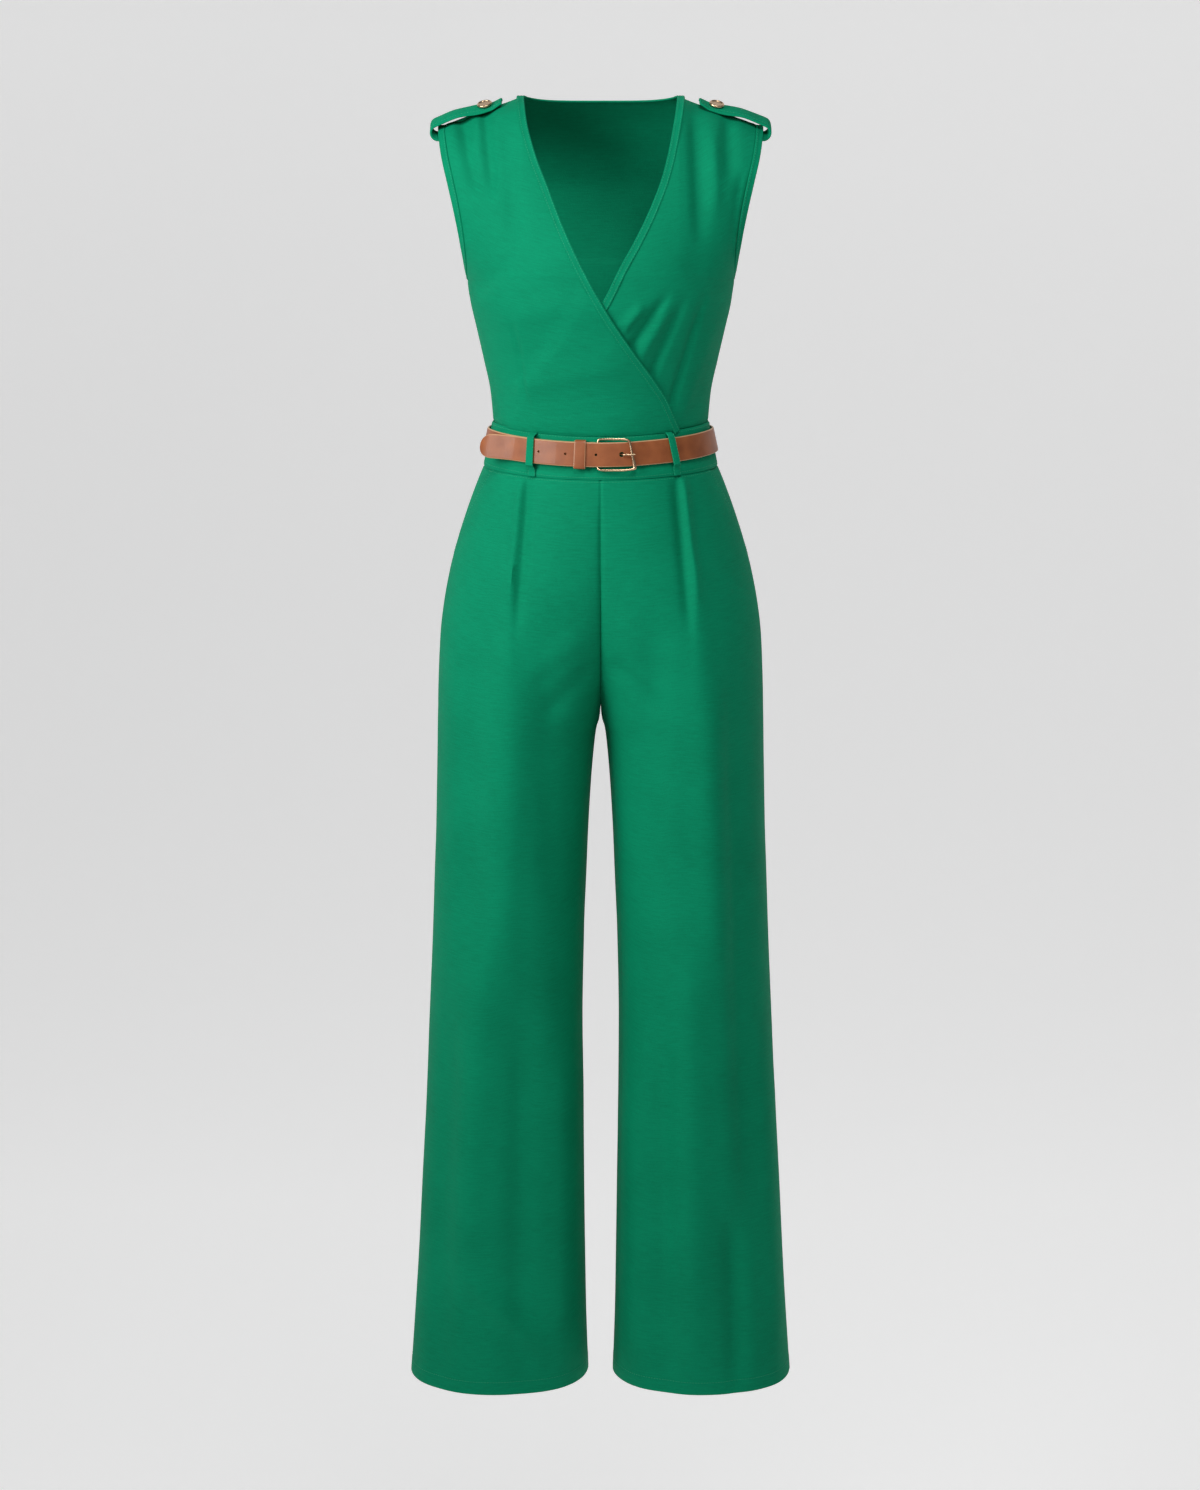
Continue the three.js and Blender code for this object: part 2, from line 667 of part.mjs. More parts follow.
// Round rod along a line of points, closed into a ring or capped at both ends.
function rod(points, radius, ring) {
  const sides = 10;
  const count = points.length;
  const rows = points.map((point, i) => {
    const before = points[ring ? (i + count - 1) % count : Math.max(0, i - 1)];
    const after = points[ring ? (i + 1) % count : Math.min(count - 1, i + 1)];
    const along = after.clone().sub(before).normalize();
    const out = new THREE.Vector3(0, -1, 0.02);
    const across = new THREE.Vector3().crossVectors(along, out).normalize();
    const up = new THREE.Vector3().crossVectors(across, along).normalize();
    const row = [];
    for (let k = 0; k < sides; k += 1) {
      const turn = (2 * PI * k) / sides;
      row.push(point.clone().addScaledVector(across, radius[0] * Math.cos(turn)).addScaledVector(up, radius[1] * Math.sin(turn)));
    }
    return row;
  });
  const vertices = rows.flat();
  const faces = [];
  const spans = ring ? count : count - 1;
  for (let r = 0; r < spans; r += 1) {
    for (let k = 0; k < sides; k += 1) {
      const a = r * sides + k;
      const b = r * sides + ((k + 1) % sides);
      const c = ((r + 1) % count) * sides + ((k + 1) % sides);
      const d = ((r + 1) % count) * sides + k;
      faces.push(a, b, c, a, c, d);
    }
  }
  if (!ring) {
    for (const [row, flip] of [[0, true], [count - 1, false]]) {
      const centre = vertices.length;
      vertices.push(points[row].clone());
      for (let k = 0; k < sides; k += 1) {
        const a = row * sides + k;
        const b = row * sides + ((k + 1) % sides);
        faces.push(...(flip ? [b, a, centre] : [a, b, centre]));
      }
    }
  }
  return body(vertices, faces);
}

// Place on the belt line from across position, height off the belt centre and layer.
function onBelt(x, up, layer) {
  return shift(beltPlace(beltTurn(x), up), layer);
}

function buckleFrame() {
  const top = 15.2;
  const line = [];
  const corners = [
    [HINGE_X, -top + 3, 3.1], [HINGE_X, -5, 3.1], [HINGE_X, 5, 3.1], [HINGE_X, top - 3, 3.1],
    [HINGE_X + 1.2, top + 0.6, 3.6], [4, top + 1.4, 4.6], [14, top + 1.4, 6.2], [24, top + 1.2, 7.8],
    [BAR_X - 2, top - 0.4, 8.2], [BAR_X - 0.5, top - 4, 8.2], [BAR_X + 1, 0, 8.2], [BAR_X + 2.7, -top + 4, 8.2],
    [BAR_X + 2, -top - 0.2, 8.2], [24, -top - 1.4, 7.8], [14, -top - 1.4, 6.2], [4, -top - 1.4, 4.6],
    [HINGE_X + 1.2, -top - 0.6, 3.6],
  ];
  for (const [x, up, layer] of corners) line.push(onBelt(x, up, layer));
  return rod(line, [1.25, 1.25], true);
}

function buckleProng() {
  const line = [
    [0.4, 2.9], [9, 2.9], [16, 2.9], [19.5, 3.4], [21.6, 5.2], [23.2, 8.2], [25.4, 10], [29, 10.6], [35, 11],
  ];
  return rod(line.map(([x, layer]) => onBelt(x, 0, layer)), [1, 0.9], false);
}

function beltKeeper() {
  const outer = [];
  const inner = [];
  for (const x of [-27.5, -16]) {
    const loopOut = [];
    const loopIn = [];
    const tall = 15.3;
    const shape = [
      [-tall, 1.6], [-tall, 4.5], [-tall, 7.6], [-6, 8.0], [6, 8.0], [tall, 7.6], [tall, 4.5], [tall, 1.6], [6, 1.5], [-6, 1.5],
    ];
    for (const [up, layer] of shape) {
      loopIn.push(onBelt(x, up * 0.92, layer));
      const outLayer = layer > 7 ? layer + 1.2 : layer < 2 ? layer - 1.15 : layer;
      loopOut.push(onBelt(x, up, outLayer));
    }
    outer.push(loopOut);
    inner.push(loopIn);
  }
  return wall(outer, inner, true);
}

// Epaulette: a two-layer strip along the shoulder that arches off it and curls down.
function shoulderPlace(x, y) {
  const side = y < 0 ? -1 : 1;
  let low = 0.85;
  let high = 1;
  for (let i = 0; i < 30; i += 1) {
    const level = (low + high) / 2;
    const half = read(BODICE, "level", "half", level);
    const point = bodicePoint(side, Math.min(1, x / half), level);
    if (Math.abs(point.y) > Math.abs(y)) low = level;
    else high = level;
  }
  return new THREE.Vector3(x, y, bodicePoint(side, Math.min(1, x / 171), low).z);
}

// bow is how far its middle stands off the shoulder at the outer end, where it curls.
const STRAP = {
  inner: 107, held: 178.5, centre: -3, halfWidth: 15.5, thick: 2.4, clear: 1.0,
  bow: 15, radius: 10, bend: 2.08, upturn: 3,
};

function strapPoint(x, across, lift) {
  const held = Math.min(x, STRAP.held);
  const known = Math.min(held, 169);
  const y = STRAP.centre + across;
  const ground = shoulderPlace(known, y).z - SHOULDER_SLOPE * (held - known);
  const edge = (across / STRAP.halfWidth) ** 2;
  const bow = STRAP.bow * Math.sin((PI / 2) * (held - STRAP.inner) / (STRAP.held - STRAP.inner));
  const raised = bow * (1 - edge * (1 - smooth((held - 124) / 34)));
  const upturn = STRAP.upturn * smooth((STRAP.inner + 12 - x) / 12);
  const slope = Math.atan(SHOULDER_SLOPE);
  const bend = slope + Math.min(Math.max(0, x - held) / STRAP.radius, STRAP.bend);
  const point = new THREE.Vector3(held, y, ground + STRAP.clear + raised + upturn);
  point.x += STRAP.radius * (Math.sin(bend) - Math.sin(slope));
  point.z -= STRAP.radius * (Math.cos(slope) - Math.cos(bend));
  return point.add(new THREE.Vector3(Math.sin(bend) * lift, 0, Math.cos(bend) * lift));
}

function epaulette(sign) {
  const outer = [];
  const inner = [];
  const steps = [0, 3, 8, 14, 22, 32, 42, 52, 62, 71.5, 75, 78.5, 82, 85.5, 89, 92.3];
  const run = steps.map((step) => STRAP.inner + step);
  run.forEach((x) => {
    const outerRow = [];
    const innerRow = [];
    for (let c = 0; c <= 6; c += 1) {
      const across = STRAP.halfWidth * (c / 3 - 1);
      const high = strapPoint(x, across, STRAP.thick);
      const low = strapPoint(x, across, 0);
      high.x *= sign;
      low.x *= sign;
      outerRow.push(high);
      innerRow.push(low);
    }
    outer.push(outerRow);
    inner.push(innerRow);
  });
  return wall(outer, inner);
}

// Button with a raised rim and a shallow dish, standing on the strap.
const BUTTON = { x: 125, across: -6, radius: 8.3, tall: 2.6 };

function epauletteButton(sign) {
  const profile = [
    [0, 0], [6.6, 0], [8.1, 0.5], [8.3, 1.3], [7.9, 2.3], [7.1, 2.6], [6.3, 2.3], [5.6, 1.7], [0, 1.5],
  ].map(([r, h]) => new THREE.Vector2(r, h));
  const sides = 24;
  const points = [];
  const faces = [];
  profile.slice(1, -1).forEach((place) => {
    for (let k = 0; k < sides; k += 1) {
      const turn = (2 * PI * k) / sides;
      points.push(new THREE.Vector3(place.x * Math.cos(turn), place.x * Math.sin(turn), place.y));
    }
  });
  const rows = profile.length - 2;
  for (let r = 0; r < rows - 1; r += 1) {
    for (let k = 0; k < sides; k += 1) {
      const next = (k + 1) % sides;
      faces.push(r * sides + k, r * sides + next, (r + 1) * sides + next);
      faces.push(r * sides + k, (r + 1) * sides + next, (r + 1) * sides + k);
    }
  }
  const foot = points.length;
  points.push(new THREE.Vector3(0, 0, profile[0].y), new THREE.Vector3(0, 0, profile[profile.length - 1].y));
  for (let k = 0; k < sides; k += 1) {
    const next = (k + 1) % sides;
    faces.push(next, k, foot, (rows - 1) * sides + k, (rows - 1) * sides + next, foot + 1);
  }
  const geometry = body(points, faces);
  const base = strapPoint(BUTTON.x, BUTTON.across, STRAP.thick + 0.9);
  const near = (dx, dy) => strapPoint(BUTTON.x + dx, BUTTON.across + dy, STRAP.thick);
  const ahead = near(4, 0).sub(near(-4, 0));
  const aside = near(0, 4).sub(near(0, -4));
  const up = new THREE.Vector3().crossVectors(ahead, aside).normalize();
  if (up.z < 0) up.negate();
  up.x *= sign;
  geometry.applyQuaternion(new THREE.Quaternion().setFromUnitVectors(new THREE.Vector3(0, 0, 1), up));
  geometry.translate(base.x * sign, base.y, base.z);
  return geometry;
}

// Assembly
const group = new THREE.Group();
group.name = "jumpsuit";

function add(name, geometry, color, roughness, metalness) {
  const material = new THREE.MeshStandardMaterial({ color, roughness, metalness, side: THREE.DoubleSide });
  material.name = `${name}_material`;
  const mesh = new THREE.Mesh(geometry, material);
  mesh.name = name;
  group.add(mesh);
}

const cloth = (name, geometry) => add(name, geometry, 0x0b8a62, 0.85, 0);
const leather = (name, geometry) => add(name, geometry, 0x9b5433, 0.6, 0);
const metal = (name, geometry) => add(name, geometry, 0xd8b98c, 0.3, 0.9);

const FREE = BINDING_WIDTH + 0.45;
cloth("bodice_back", backPanel());
cloth("bodice_front_right", wrapPanel(1, OVER_EDGE, null, FREE, 15, CLOTH, 0));
cloth("bodice_front_left", wrapPanel(-1, UNDER_EDGE, null, FREE, 15, CLOTH, 0));
cloth("neck_binding_right", wrapPanel(1, OVER_EDGE, BINDING_WIDTH, 0, 2, BAND, 0.3));
cloth("neck_binding_left", wrapPanel(-1, UNDER_EDGE, BINDING_WIDTH, 0, 2, BAND, 0.3));
cloth("neck_binding_back", backNeckBinding());
for (const [word, sign] of [["right", -1], ["left", 1]]) {
  cloth(`armhole_binding_${word}`, armholeBinding(sign));
  cloth(`epaulette_${word}`, epaulette(sign));
  metal(`epaulette_button_${word}`, epauletteButton(sign));
  cloth(`trouser_front_${word}`, trouserPanel(sign, -1));
  cloth(`trouser_back_${word}`, trouserPanel(sign, 1));
  cloth(`pocket_facing_${word}`, pocketFacing(sign));
}
cloth("waistband_front", waistband(-1));
cloth("waistband_back", waistband(1));
cloth("belt_loop_front_right", beltLoop(beltTurn(-73), 7.5, 4));
cloth("belt_loop_front_left", beltLoop(beltTurn(78), 4.7, 5));
cloth("belt_loop_back_right", beltLoop(PI - beltTurn(-70), 4.7, 0));
cloth("belt_loop_back_left", beltLoop(PI - beltTurn(70), 4.7, 0));
leather("belt_strap", beltGeometry());
leather("belt_keeper", beltKeeper());
metal("buckle_frame", buckleFrame());
metal("buckle_prong", buckleProng());

export default group;
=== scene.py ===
import math

import bpy
import numpy as np
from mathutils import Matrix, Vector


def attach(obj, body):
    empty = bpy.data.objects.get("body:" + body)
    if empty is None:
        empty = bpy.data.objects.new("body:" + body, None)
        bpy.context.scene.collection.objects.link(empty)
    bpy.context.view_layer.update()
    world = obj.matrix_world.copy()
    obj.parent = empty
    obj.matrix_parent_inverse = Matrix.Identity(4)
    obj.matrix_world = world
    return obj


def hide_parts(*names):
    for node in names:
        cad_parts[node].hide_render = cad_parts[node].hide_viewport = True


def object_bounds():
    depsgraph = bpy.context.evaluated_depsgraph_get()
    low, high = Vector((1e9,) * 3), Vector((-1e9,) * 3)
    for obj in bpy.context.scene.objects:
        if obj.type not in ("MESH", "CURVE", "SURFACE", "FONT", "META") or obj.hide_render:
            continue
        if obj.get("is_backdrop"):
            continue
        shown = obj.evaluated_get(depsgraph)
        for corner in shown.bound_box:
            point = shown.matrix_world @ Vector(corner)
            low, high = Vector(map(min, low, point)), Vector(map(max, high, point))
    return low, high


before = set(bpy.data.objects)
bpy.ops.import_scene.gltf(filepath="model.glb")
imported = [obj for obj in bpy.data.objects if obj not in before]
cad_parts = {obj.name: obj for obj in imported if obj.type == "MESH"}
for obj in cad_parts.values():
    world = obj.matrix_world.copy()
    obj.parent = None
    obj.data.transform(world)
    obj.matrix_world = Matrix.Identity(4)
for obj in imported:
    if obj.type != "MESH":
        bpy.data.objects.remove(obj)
cad_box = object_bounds()

# Camera, pale floor and soft studio light
# The camera stands 3.6 m in front at shoulder height and looks 11.3 degrees down.
# The floor runs up into a plain backdrop. A wide key lamp stands at the front left.
LENS_MM = 78.06
SENSOR_MM = 36.0
CAMERA_PLACE = (-0.0007, -3.6, 0.016)
CAMERA_PITCH = 11.3
FLOOR_Z = -2.30
BACKDROP_START = 3.0
BACKDROP_RADIUS = 2.5
BACKDROP_TOP = 9.0
BACKDROP_STEPS = 12
FLOOR_HALF = 12.0


def add_object(name, data):
    """New object in the scene at the origin."""
    added = bpy.data.objects.new(name, data)
    bpy.context.collection.objects.link(added)
    return added


camera_data = bpy.data.cameras.new("camera")
camera_data.lens = LENS_MM
camera_data.sensor_width = SENSOR_MM
camera_data.clip_start = 0.05
camera = add_object("camera", camera_data)
camera.location = CAMERA_PLACE
camera.rotation_euler = (math.radians(90 - CAMERA_PITCH), 0, 0)
bpy.context.scene.camera = camera

profile = [(-FLOOR_HALF, FLOOR_Z)]
for step in range(BACKDROP_STEPS + 1):
    turn = math.pi / 2 * step / BACKDROP_STEPS
    across = BACKDROP_START + BACKDROP_RADIUS * math.sin(turn)
    profile.append((across, FLOOR_Z + BACKDROP_RADIUS * (1 - math.cos(turn))))
profile.append((BACKDROP_START + BACKDROP_RADIUS, BACKDROP_TOP))
floor_points = [(x, y, z) for y, z in profile for x in (-FLOOR_HALF, FLOOR_HALF)]
floor_faces = [(2 * i, 2 * i + 1, 2 * i + 3, 2 * i + 2) for i in range(len(profile) - 1)]
floor_mesh = bpy.data.meshes.new("floor")
floor_mesh.from_pydata(floor_points, [], floor_faces)
floor_mesh.shade_smooth()
floor = add_object("floor", floor_mesh)
floor_material = bpy.data.materials.new("floor_paint")
floor_material.use_nodes = True
floor_shader = floor_material.node_tree.nodes["Principled BSDF"]
floor_shader.inputs["Base Color"].default_value = (0.80, 0.80, 0.80, 1)
floor_shader.inputs["Roughness"].default_value = 0.9
floor_shader.inputs["Specular IOR Level"].default_value = 0.1
floor_shader.inputs["Emission Color"].default_value = (1, 1, 1, 1)
floor_shader.inputs["Emission Strength"].default_value = 0.445
floor_mesh.materials.append(floor_material)
floor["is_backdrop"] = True

AIM_Z = -0.3
LAMPS = (  # name, place in metres, size in metres, spread in degrees, watts
    ("key_lamp", (-1.45, -1.2, 0.35), 1.0, 95, 9.5),
    ("fill_lamp", (0.6, -3.0, 1.4), 1.6, 180, 3),
    ("top_lamp", (0.15, -1.5, 1.5), 1.0, 90, 6.5),
)
for name, place, size, spread, watts in LAMPS:
    lamp_data = bpy.data.lights.new(name, "AREA")
    lamp_data.size = size
    lamp_data.spread = math.radians(spread)
    lamp_data.energy = watts
    lamp = add_object(name, lamp_data)
    lamp.location = place
    aim = [-place[0], -place[1], AIM_Z - place[2]]
    turn_x = math.atan2(math.hypot(aim[0], aim[1]), -aim[2])
    lamp.rotation_euler = (turn_x, 0, math.atan2(aim[1], aim[0]) - math.pi / 2)

world = bpy.data.worlds.new("studio")
world.use_nodes = True
world.node_tree.nodes["Background"].inputs["Color"].default_value = (0.96, 0.96, 0.97, 1)
world.node_tree.nodes["Background"].inputs["Strength"].default_value = 0.13
bpy.context.scene.world = world
bpy.context.scene.view_settings.view_transform = "Standard"

# Back bodice
# One piece of green crepe from shoulder seams to waist seam, with two waist darts.
# It is cut flat, darted, and sewn to the fronts at sides and shoulders.
MM = 0.001
NECK_HALF = 84.0
NECK_Z = 21.0
SHOULDER_SLOPE = 42 / 93
SHOULDER_HALF = 171.0
SHOULDER_RISE = 7.5
WAIST_SIDE_Z = -335.0
WAIST_DIP = 7.0
CLOTH = 1.0
SUNK = 0.1
SHARP_ANGLE = 50


def table(names, *rows):
    """Columns of numbers by name, from one row for each section."""
    return {name: np.array(values, float) for name, values in zip(names.split(), zip(*rows))}


BODICE = table(
    "level half front back edge power",
    (0.0, 119.5, 96, 92, 0, 2),
    (0.1, 122.6, 104, 96, 0, 2.02),
    (0.2, 129.5, 113, 102, 0, 2.08),
    (0.3, 136.8, 123, 107, 0, 2.18),
    (0.4, 144.0, 130, 110, 0, 2.3),
    (0.468, 147.0, 130, 111, 0, 2.35),
    (0.474, 147.0, 130, 111, 13, 2.35),
    (0.484, 147.0, 129, 112, 22, 2.34),
    (0.5, 147.0, 128, 112, 31, 2.32),
    (0.53, 147.2, 126, 112, 43, 2.24),
    (0.6, 149.0, 118, 112, 57, 2.06),
    (0.7, 153.5, 102, 110, 62, 2),
    (0.8, 160.0, 84, 100, 56, 2),
    (0.9, 167.0, 60, 80, 42, 2),
    (0.96, 170.0, 38, 58, 27, 2),
    (0.985, 171.0, 20, 42, 14, 2),
    (1.0, 171.0, 0, 0, 0, 2),
)
UNDERARM = 0.468
BACK_NECK_DROP = 0.019
BACK_NECK_POWER = 4
SEAM_DEPTH = 0.9
SEAM_REACH = 1.7


def smooth(t):
    """Soft step from 0 to 1."""
    t = np.clip(t, 0, 1)
    return t * t * (3 - 2 * t)


def read(rows, key, column, at):
    """Smooth interpolation of one column that never overshoots."""
    x, y = rows[key], rows[column]
    if x[0] > x[-1]:
        x, y = x[::-1], y[::-1]
    width = np.diff(x)
    slope = np.diff(y) / width
    before, after = slope[:-1], slope[1:]
    total = np.where(before * after > 0, before + after, 1)
    inner = np.where(before * after > 0, 2 * before * after / total, 0)
    tangent = np.concatenate([slope[:1], inner, slope[-1:]])
    at = np.clip(np.asarray(at, float), x[0], x[-1])
    i = np.clip(np.searchsorted(x, at, side="right") - 1, 0, len(x) - 2)
    t = (at - x[i]) / width[i]
    low = (1 + 2 * t) * (1 - t) ** 2 * y[i] + t * (1 - t) ** 2 * width[i] * tangent[i]
    high = t * t * (3 - 2 * t) * y[i + 1] - t * t * (1 - t) * width[i] * tangent[i + 1]
    return low + high


def bodice_point(side, turn, level):
    """Point on the bodice: side -1 is the front, turn runs from -90 to 90 degrees."""
    level = np.clip(level, 0, 1)
    xi = np.sin(turn)
    across = np.abs(xi)
    half = read(BODICE, "level", "half", level)
    depth = read(BODICE, "level", "front" if side < 0 else "back", level)
    edge = read(BODICE, "level", "edge", level)
    power = read(BODICE, "level", "power", level)
    share = edge / np.maximum(depth, 1e-6)
    share = np.where(level > 0.9999, 1, share)
    cut = 1 - share**power
    y = depth * np.maximum(1 - cut * across**power, 0) ** (1 / power)
    x = half * xi
    past_neck = np.maximum(0, np.abs(x) - NECK_HALF)
    lifted = SHOULDER_RISE * smooth(past_neck / (SHOULDER_HALF - NECK_HALF))
    shoulder = NECK_Z - SHOULDER_SLOPE * past_neck + lifted
    dip = WAIST_DIP * (1 - across**2) if side < 0 else 0
    waist = WAIST_SIDE_Z - dip
    z = waist + (shoulder - waist) * level
    return np.stack([x, side * y, z], -1)


def unit(vectors):
    """Vectors brought to length 1."""
    return vectors / np.maximum(np.linalg.norm(vectors, axis=-1, keepdims=True), 1e-9)


def normals_of(surface, u, v, limits, outward):
    """Outward unit normals of a surface, from small steps inside its limits."""
    step = 0.002
    u = np.clip(u, limits[0] + step, limits[1] - step)
    v = np.clip(v, limits[2] + step, limits[3] - step)
    along_u = surface(u + step, v) - surface(u - step, v)
    along_v = surface(u, v + step) - surface(u, v - step)
    normal = unit(np.cross(along_u, along_v))
    facing = np.sum(normal * outward(surface(u, v)), -1, keepdims=True)
    return np.where(facing < 0, -normal, normal)


SHOULDER_PULL = 60
SHOULDER_PULL_FROM = (0.9, 0.1)  # level, and how far it blends in
UPRIGHT_FROM = (0.98, 0.02)
NORMAL_LEVELS = (0.003, 0.996)


def bodice_normal(side, turn, level):
    """Outward normal of the bodice, turned straight up along the shoulder seam."""
    def surface(u, v):
        return bodice_point(side, u, v)

    def outward(p):
        high = SHOULDER_PULL * smooth((level - SHOULDER_PULL_FROM[0]) / SHOULDER_PULL_FROM[1])
        return np.stack([p[..., 0] * 0.6, p[..., 1], high + 0 * p[..., 0]], -1)

    limits = (-math.pi / 2, math.pi / 2, *NORMAL_LEVELS)
    normal = normals_of(surface, turn, level, limits, outward)
    top = smooth((level - UPRIGHT_FROM[0]) / UPRIGHT_FROM[1])[..., None]
    return unit(normal * (1 - top) + np.array([0, 0, 1.0]) * top)


def eased(count):
    """Even steps from 0 to 1 that draw together near both ends."""
    t = np.linspace(0, 1, count)
    return 0.45 * t + 0.55 * (1 - np.cos(math.pi * t)) / 2


def run_lengths(points):
    """Distances along columns and along rows of a grid of points."""
    across = np.linalg.norm(np.diff(points, axis=1), axis=-1)
    along = np.linalg.norm(np.diff(points, axis=0), axis=-1)
    u = np.concatenate([np.zeros((points.shape[0], 1)), np.cumsum(across, 1)], 1)
    v = np.concatenate([np.zeros((1, points.shape[1])), np.cumsum(along, 0)], 0)
    return u, v


def seam_valley(distance, depth=SEAM_DEPTH, reach=SEAM_REACH):
    """Hollow along a seam, by the distance from it in millimetres."""
    return -depth * np.exp(-((distance / reach) ** 2))


def fold_lift(points, folds):
    """Lift along the normal from a table of folds, each a line seen from the front."""
    x, z = points[..., 0], points[..., 2]
    lift = np.zeros(x.shape)
    for x0, z0, x1, z1, left, right, height in folds:
        dx, dz = x1 - x0, z1 - z0
        length = math.hypot(dx, dz)
        t = ((x - x0) * dx + (z - z0) * dz) / length**2
        away = ((x - x0) * -dz + (z - z0) * dx) / length
        width = np.where(away > 0, right, left)
        fade = smooth((t + 0.12) / 0.3) * smooth((1.12 - t) / 0.4)
        lift += height * fade * np.exp(-((away / width) ** 2))
    return lift


def slack(points, height, scale, seed):
    """Gentle unevenness of hanging cloth from a few long waves."""
    x, y, z = points[..., 0], points[..., 1], points[..., 2]
    total = 0
    for k in range(4):
        a = seed * 1.7 + k * 2.399
        wave = scale * (1 + 0.45 * k)
        total = total + np.sin((x * math.cos(a) + (z * 0.45 + y) * math.sin(a)) / wave + a * 3)
    return height * total / 4


def mesh_piece(name, outer, inner, looped=False, runs=None):
    """Closed body between two grids of points in millimetres, with its run lengths as UV."""
    rows, columns = outer.shape[:2]
    grid = np.arange(rows * columns).reshape(rows, columns)
    if looped:
        grid = np.concatenate([grid, grid[:, :1]], 1)
    far = grid + rows * columns
    quads = [np.stack([grid[:-1, :-1], grid[:-1, 1:], grid[1:, 1:], grid[1:, :-1]], -1)]
    quads.append(np.stack([far[1:, :-1], far[1:, 1:], far[:-1, 1:], far[:-1, :-1]], -1))
    quads.append(np.stack([grid[0, 1:], grid[0, :-1], far[0, :-1], far[0, 1:]], -1))
    quads.append(np.stack([grid[-1, :-1], grid[-1, 1:], far[-1, 1:], far[-1, :-1]], -1))
    if not looped:
        quads.append(np.stack([grid[:-1, 0], grid[1:, 0], far[1:, 0], far[:-1, 0]], -1))
        quads.append(np.stack([grid[1:, -1], grid[:-1, -1], far[:-1, -1], far[1:, -1]], -1))
    faces = np.concatenate([q.reshape(-1, 4) for q in quads])
    points = np.concatenate([outer.reshape(-1, 3), inner.reshape(-1, 3)])
    corners = points[faces]
    middle = corners.mean(1) - points.mean(0)
    spread = np.cross(corners[:, 2] - corners[:, 0], corners[:, 3] - corners[:, 1])
    if np.sum(middle * spread) < 0:
        faces = faces[:, ::-1]
    mesh = bpy.data.meshes.new(name)
    mesh.from_pydata((points * MM).tolist(), [], faces.tolist())
    u, v = run_lengths(outer) if runs is None else runs
    flat = np.tile(np.stack([u.ravel(), v.ravel()], -1), (2, 1))
    layer = mesh.uv_layers.new(name="run")
    loops = np.empty(len(mesh.loops), np.int32)
    mesh.loops.foreach_get("vertex_index", loops)
    layer.data.foreach_set("uv", (flat[loops] * MM).ravel().astype(np.float32))
    mesh.shade_smooth()
    return add_object(name, mesh)


def sharpen(mesh):
    """Marks the rim of a shell as a hard edge."""
    mesh.set_sharp_from_angle(angle=math.radians(SHARP_ANGLE))


def new_material(name):
    """Empty material with its nodes, links, shader and texture coordinates."""
    material = bpy.data.materials.new(name)
    material.use_nodes = True
    nodes, links = material.node_tree.nodes, material.node_tree.links
    place = nodes.new("ShaderNodeTexCoord")
    return material, nodes, links, nodes["Principled BSDF"], place


def noise(nodes, links, vector, scale, detail):
    """Soft random tone from 0 to 1."""
    texture = nodes.new("ShaderNodeTexNoise")
    texture.inputs["Scale"].default_value = scale
    texture.inputs["Detail"].default_value = detail
    links.new(vector, texture.inputs["Vector"])
    return texture.outputs["Fac"]


def stretched(nodes, links, vector, scale):
    """Coordinates drawn out along one direction, for threads."""
    mapping = nodes.new("ShaderNodeMapping")
    mapping.inputs["Scale"].default_value = scale
    links.new(vector, mapping.inputs["Vector"])
    return mapping.outputs["Vector"]


def bumped(nodes, links, shader, height, strength, distance):
    """Fine relief too small for the mesh."""
    bump = nodes.new("ShaderNodeBump")
    bump.inputs["Strength"].default_value = strength
    bump.inputs["Distance"].default_value = distance
    links.new(height, bump.inputs["Height"])
    links.new(bump.outputs["Normal"], shader.inputs["Normal"])


def colour_ramp(nodes, links, factor, low, high):
    """Blend between two colours; each end is a position and a colour."""
    ramp = nodes.new("ShaderNodeValToRGB")
    for element, (position, colour) in zip(ramp.color_ramp.elements, (low, high)):
        element.position = position
        element.color = (*colour, 1)
    links.new(factor, ramp.inputs["Fac"])
    return ramp.outputs["Color"]


CREPE_GREEN = (0.002, 0.258, 0.126)
CREPE_SHADE = (0.001, 0.165, 0.078)
CREPE_SHEEN = (0.1, 0.9, 0.55, 1)
WEFT_SCALE = (260, 1500, 1)
WARP_SCALE = (1700, 210, 1)
SLUB_SCALE = (55, 620, 1)
PATCH_SCALE = 14


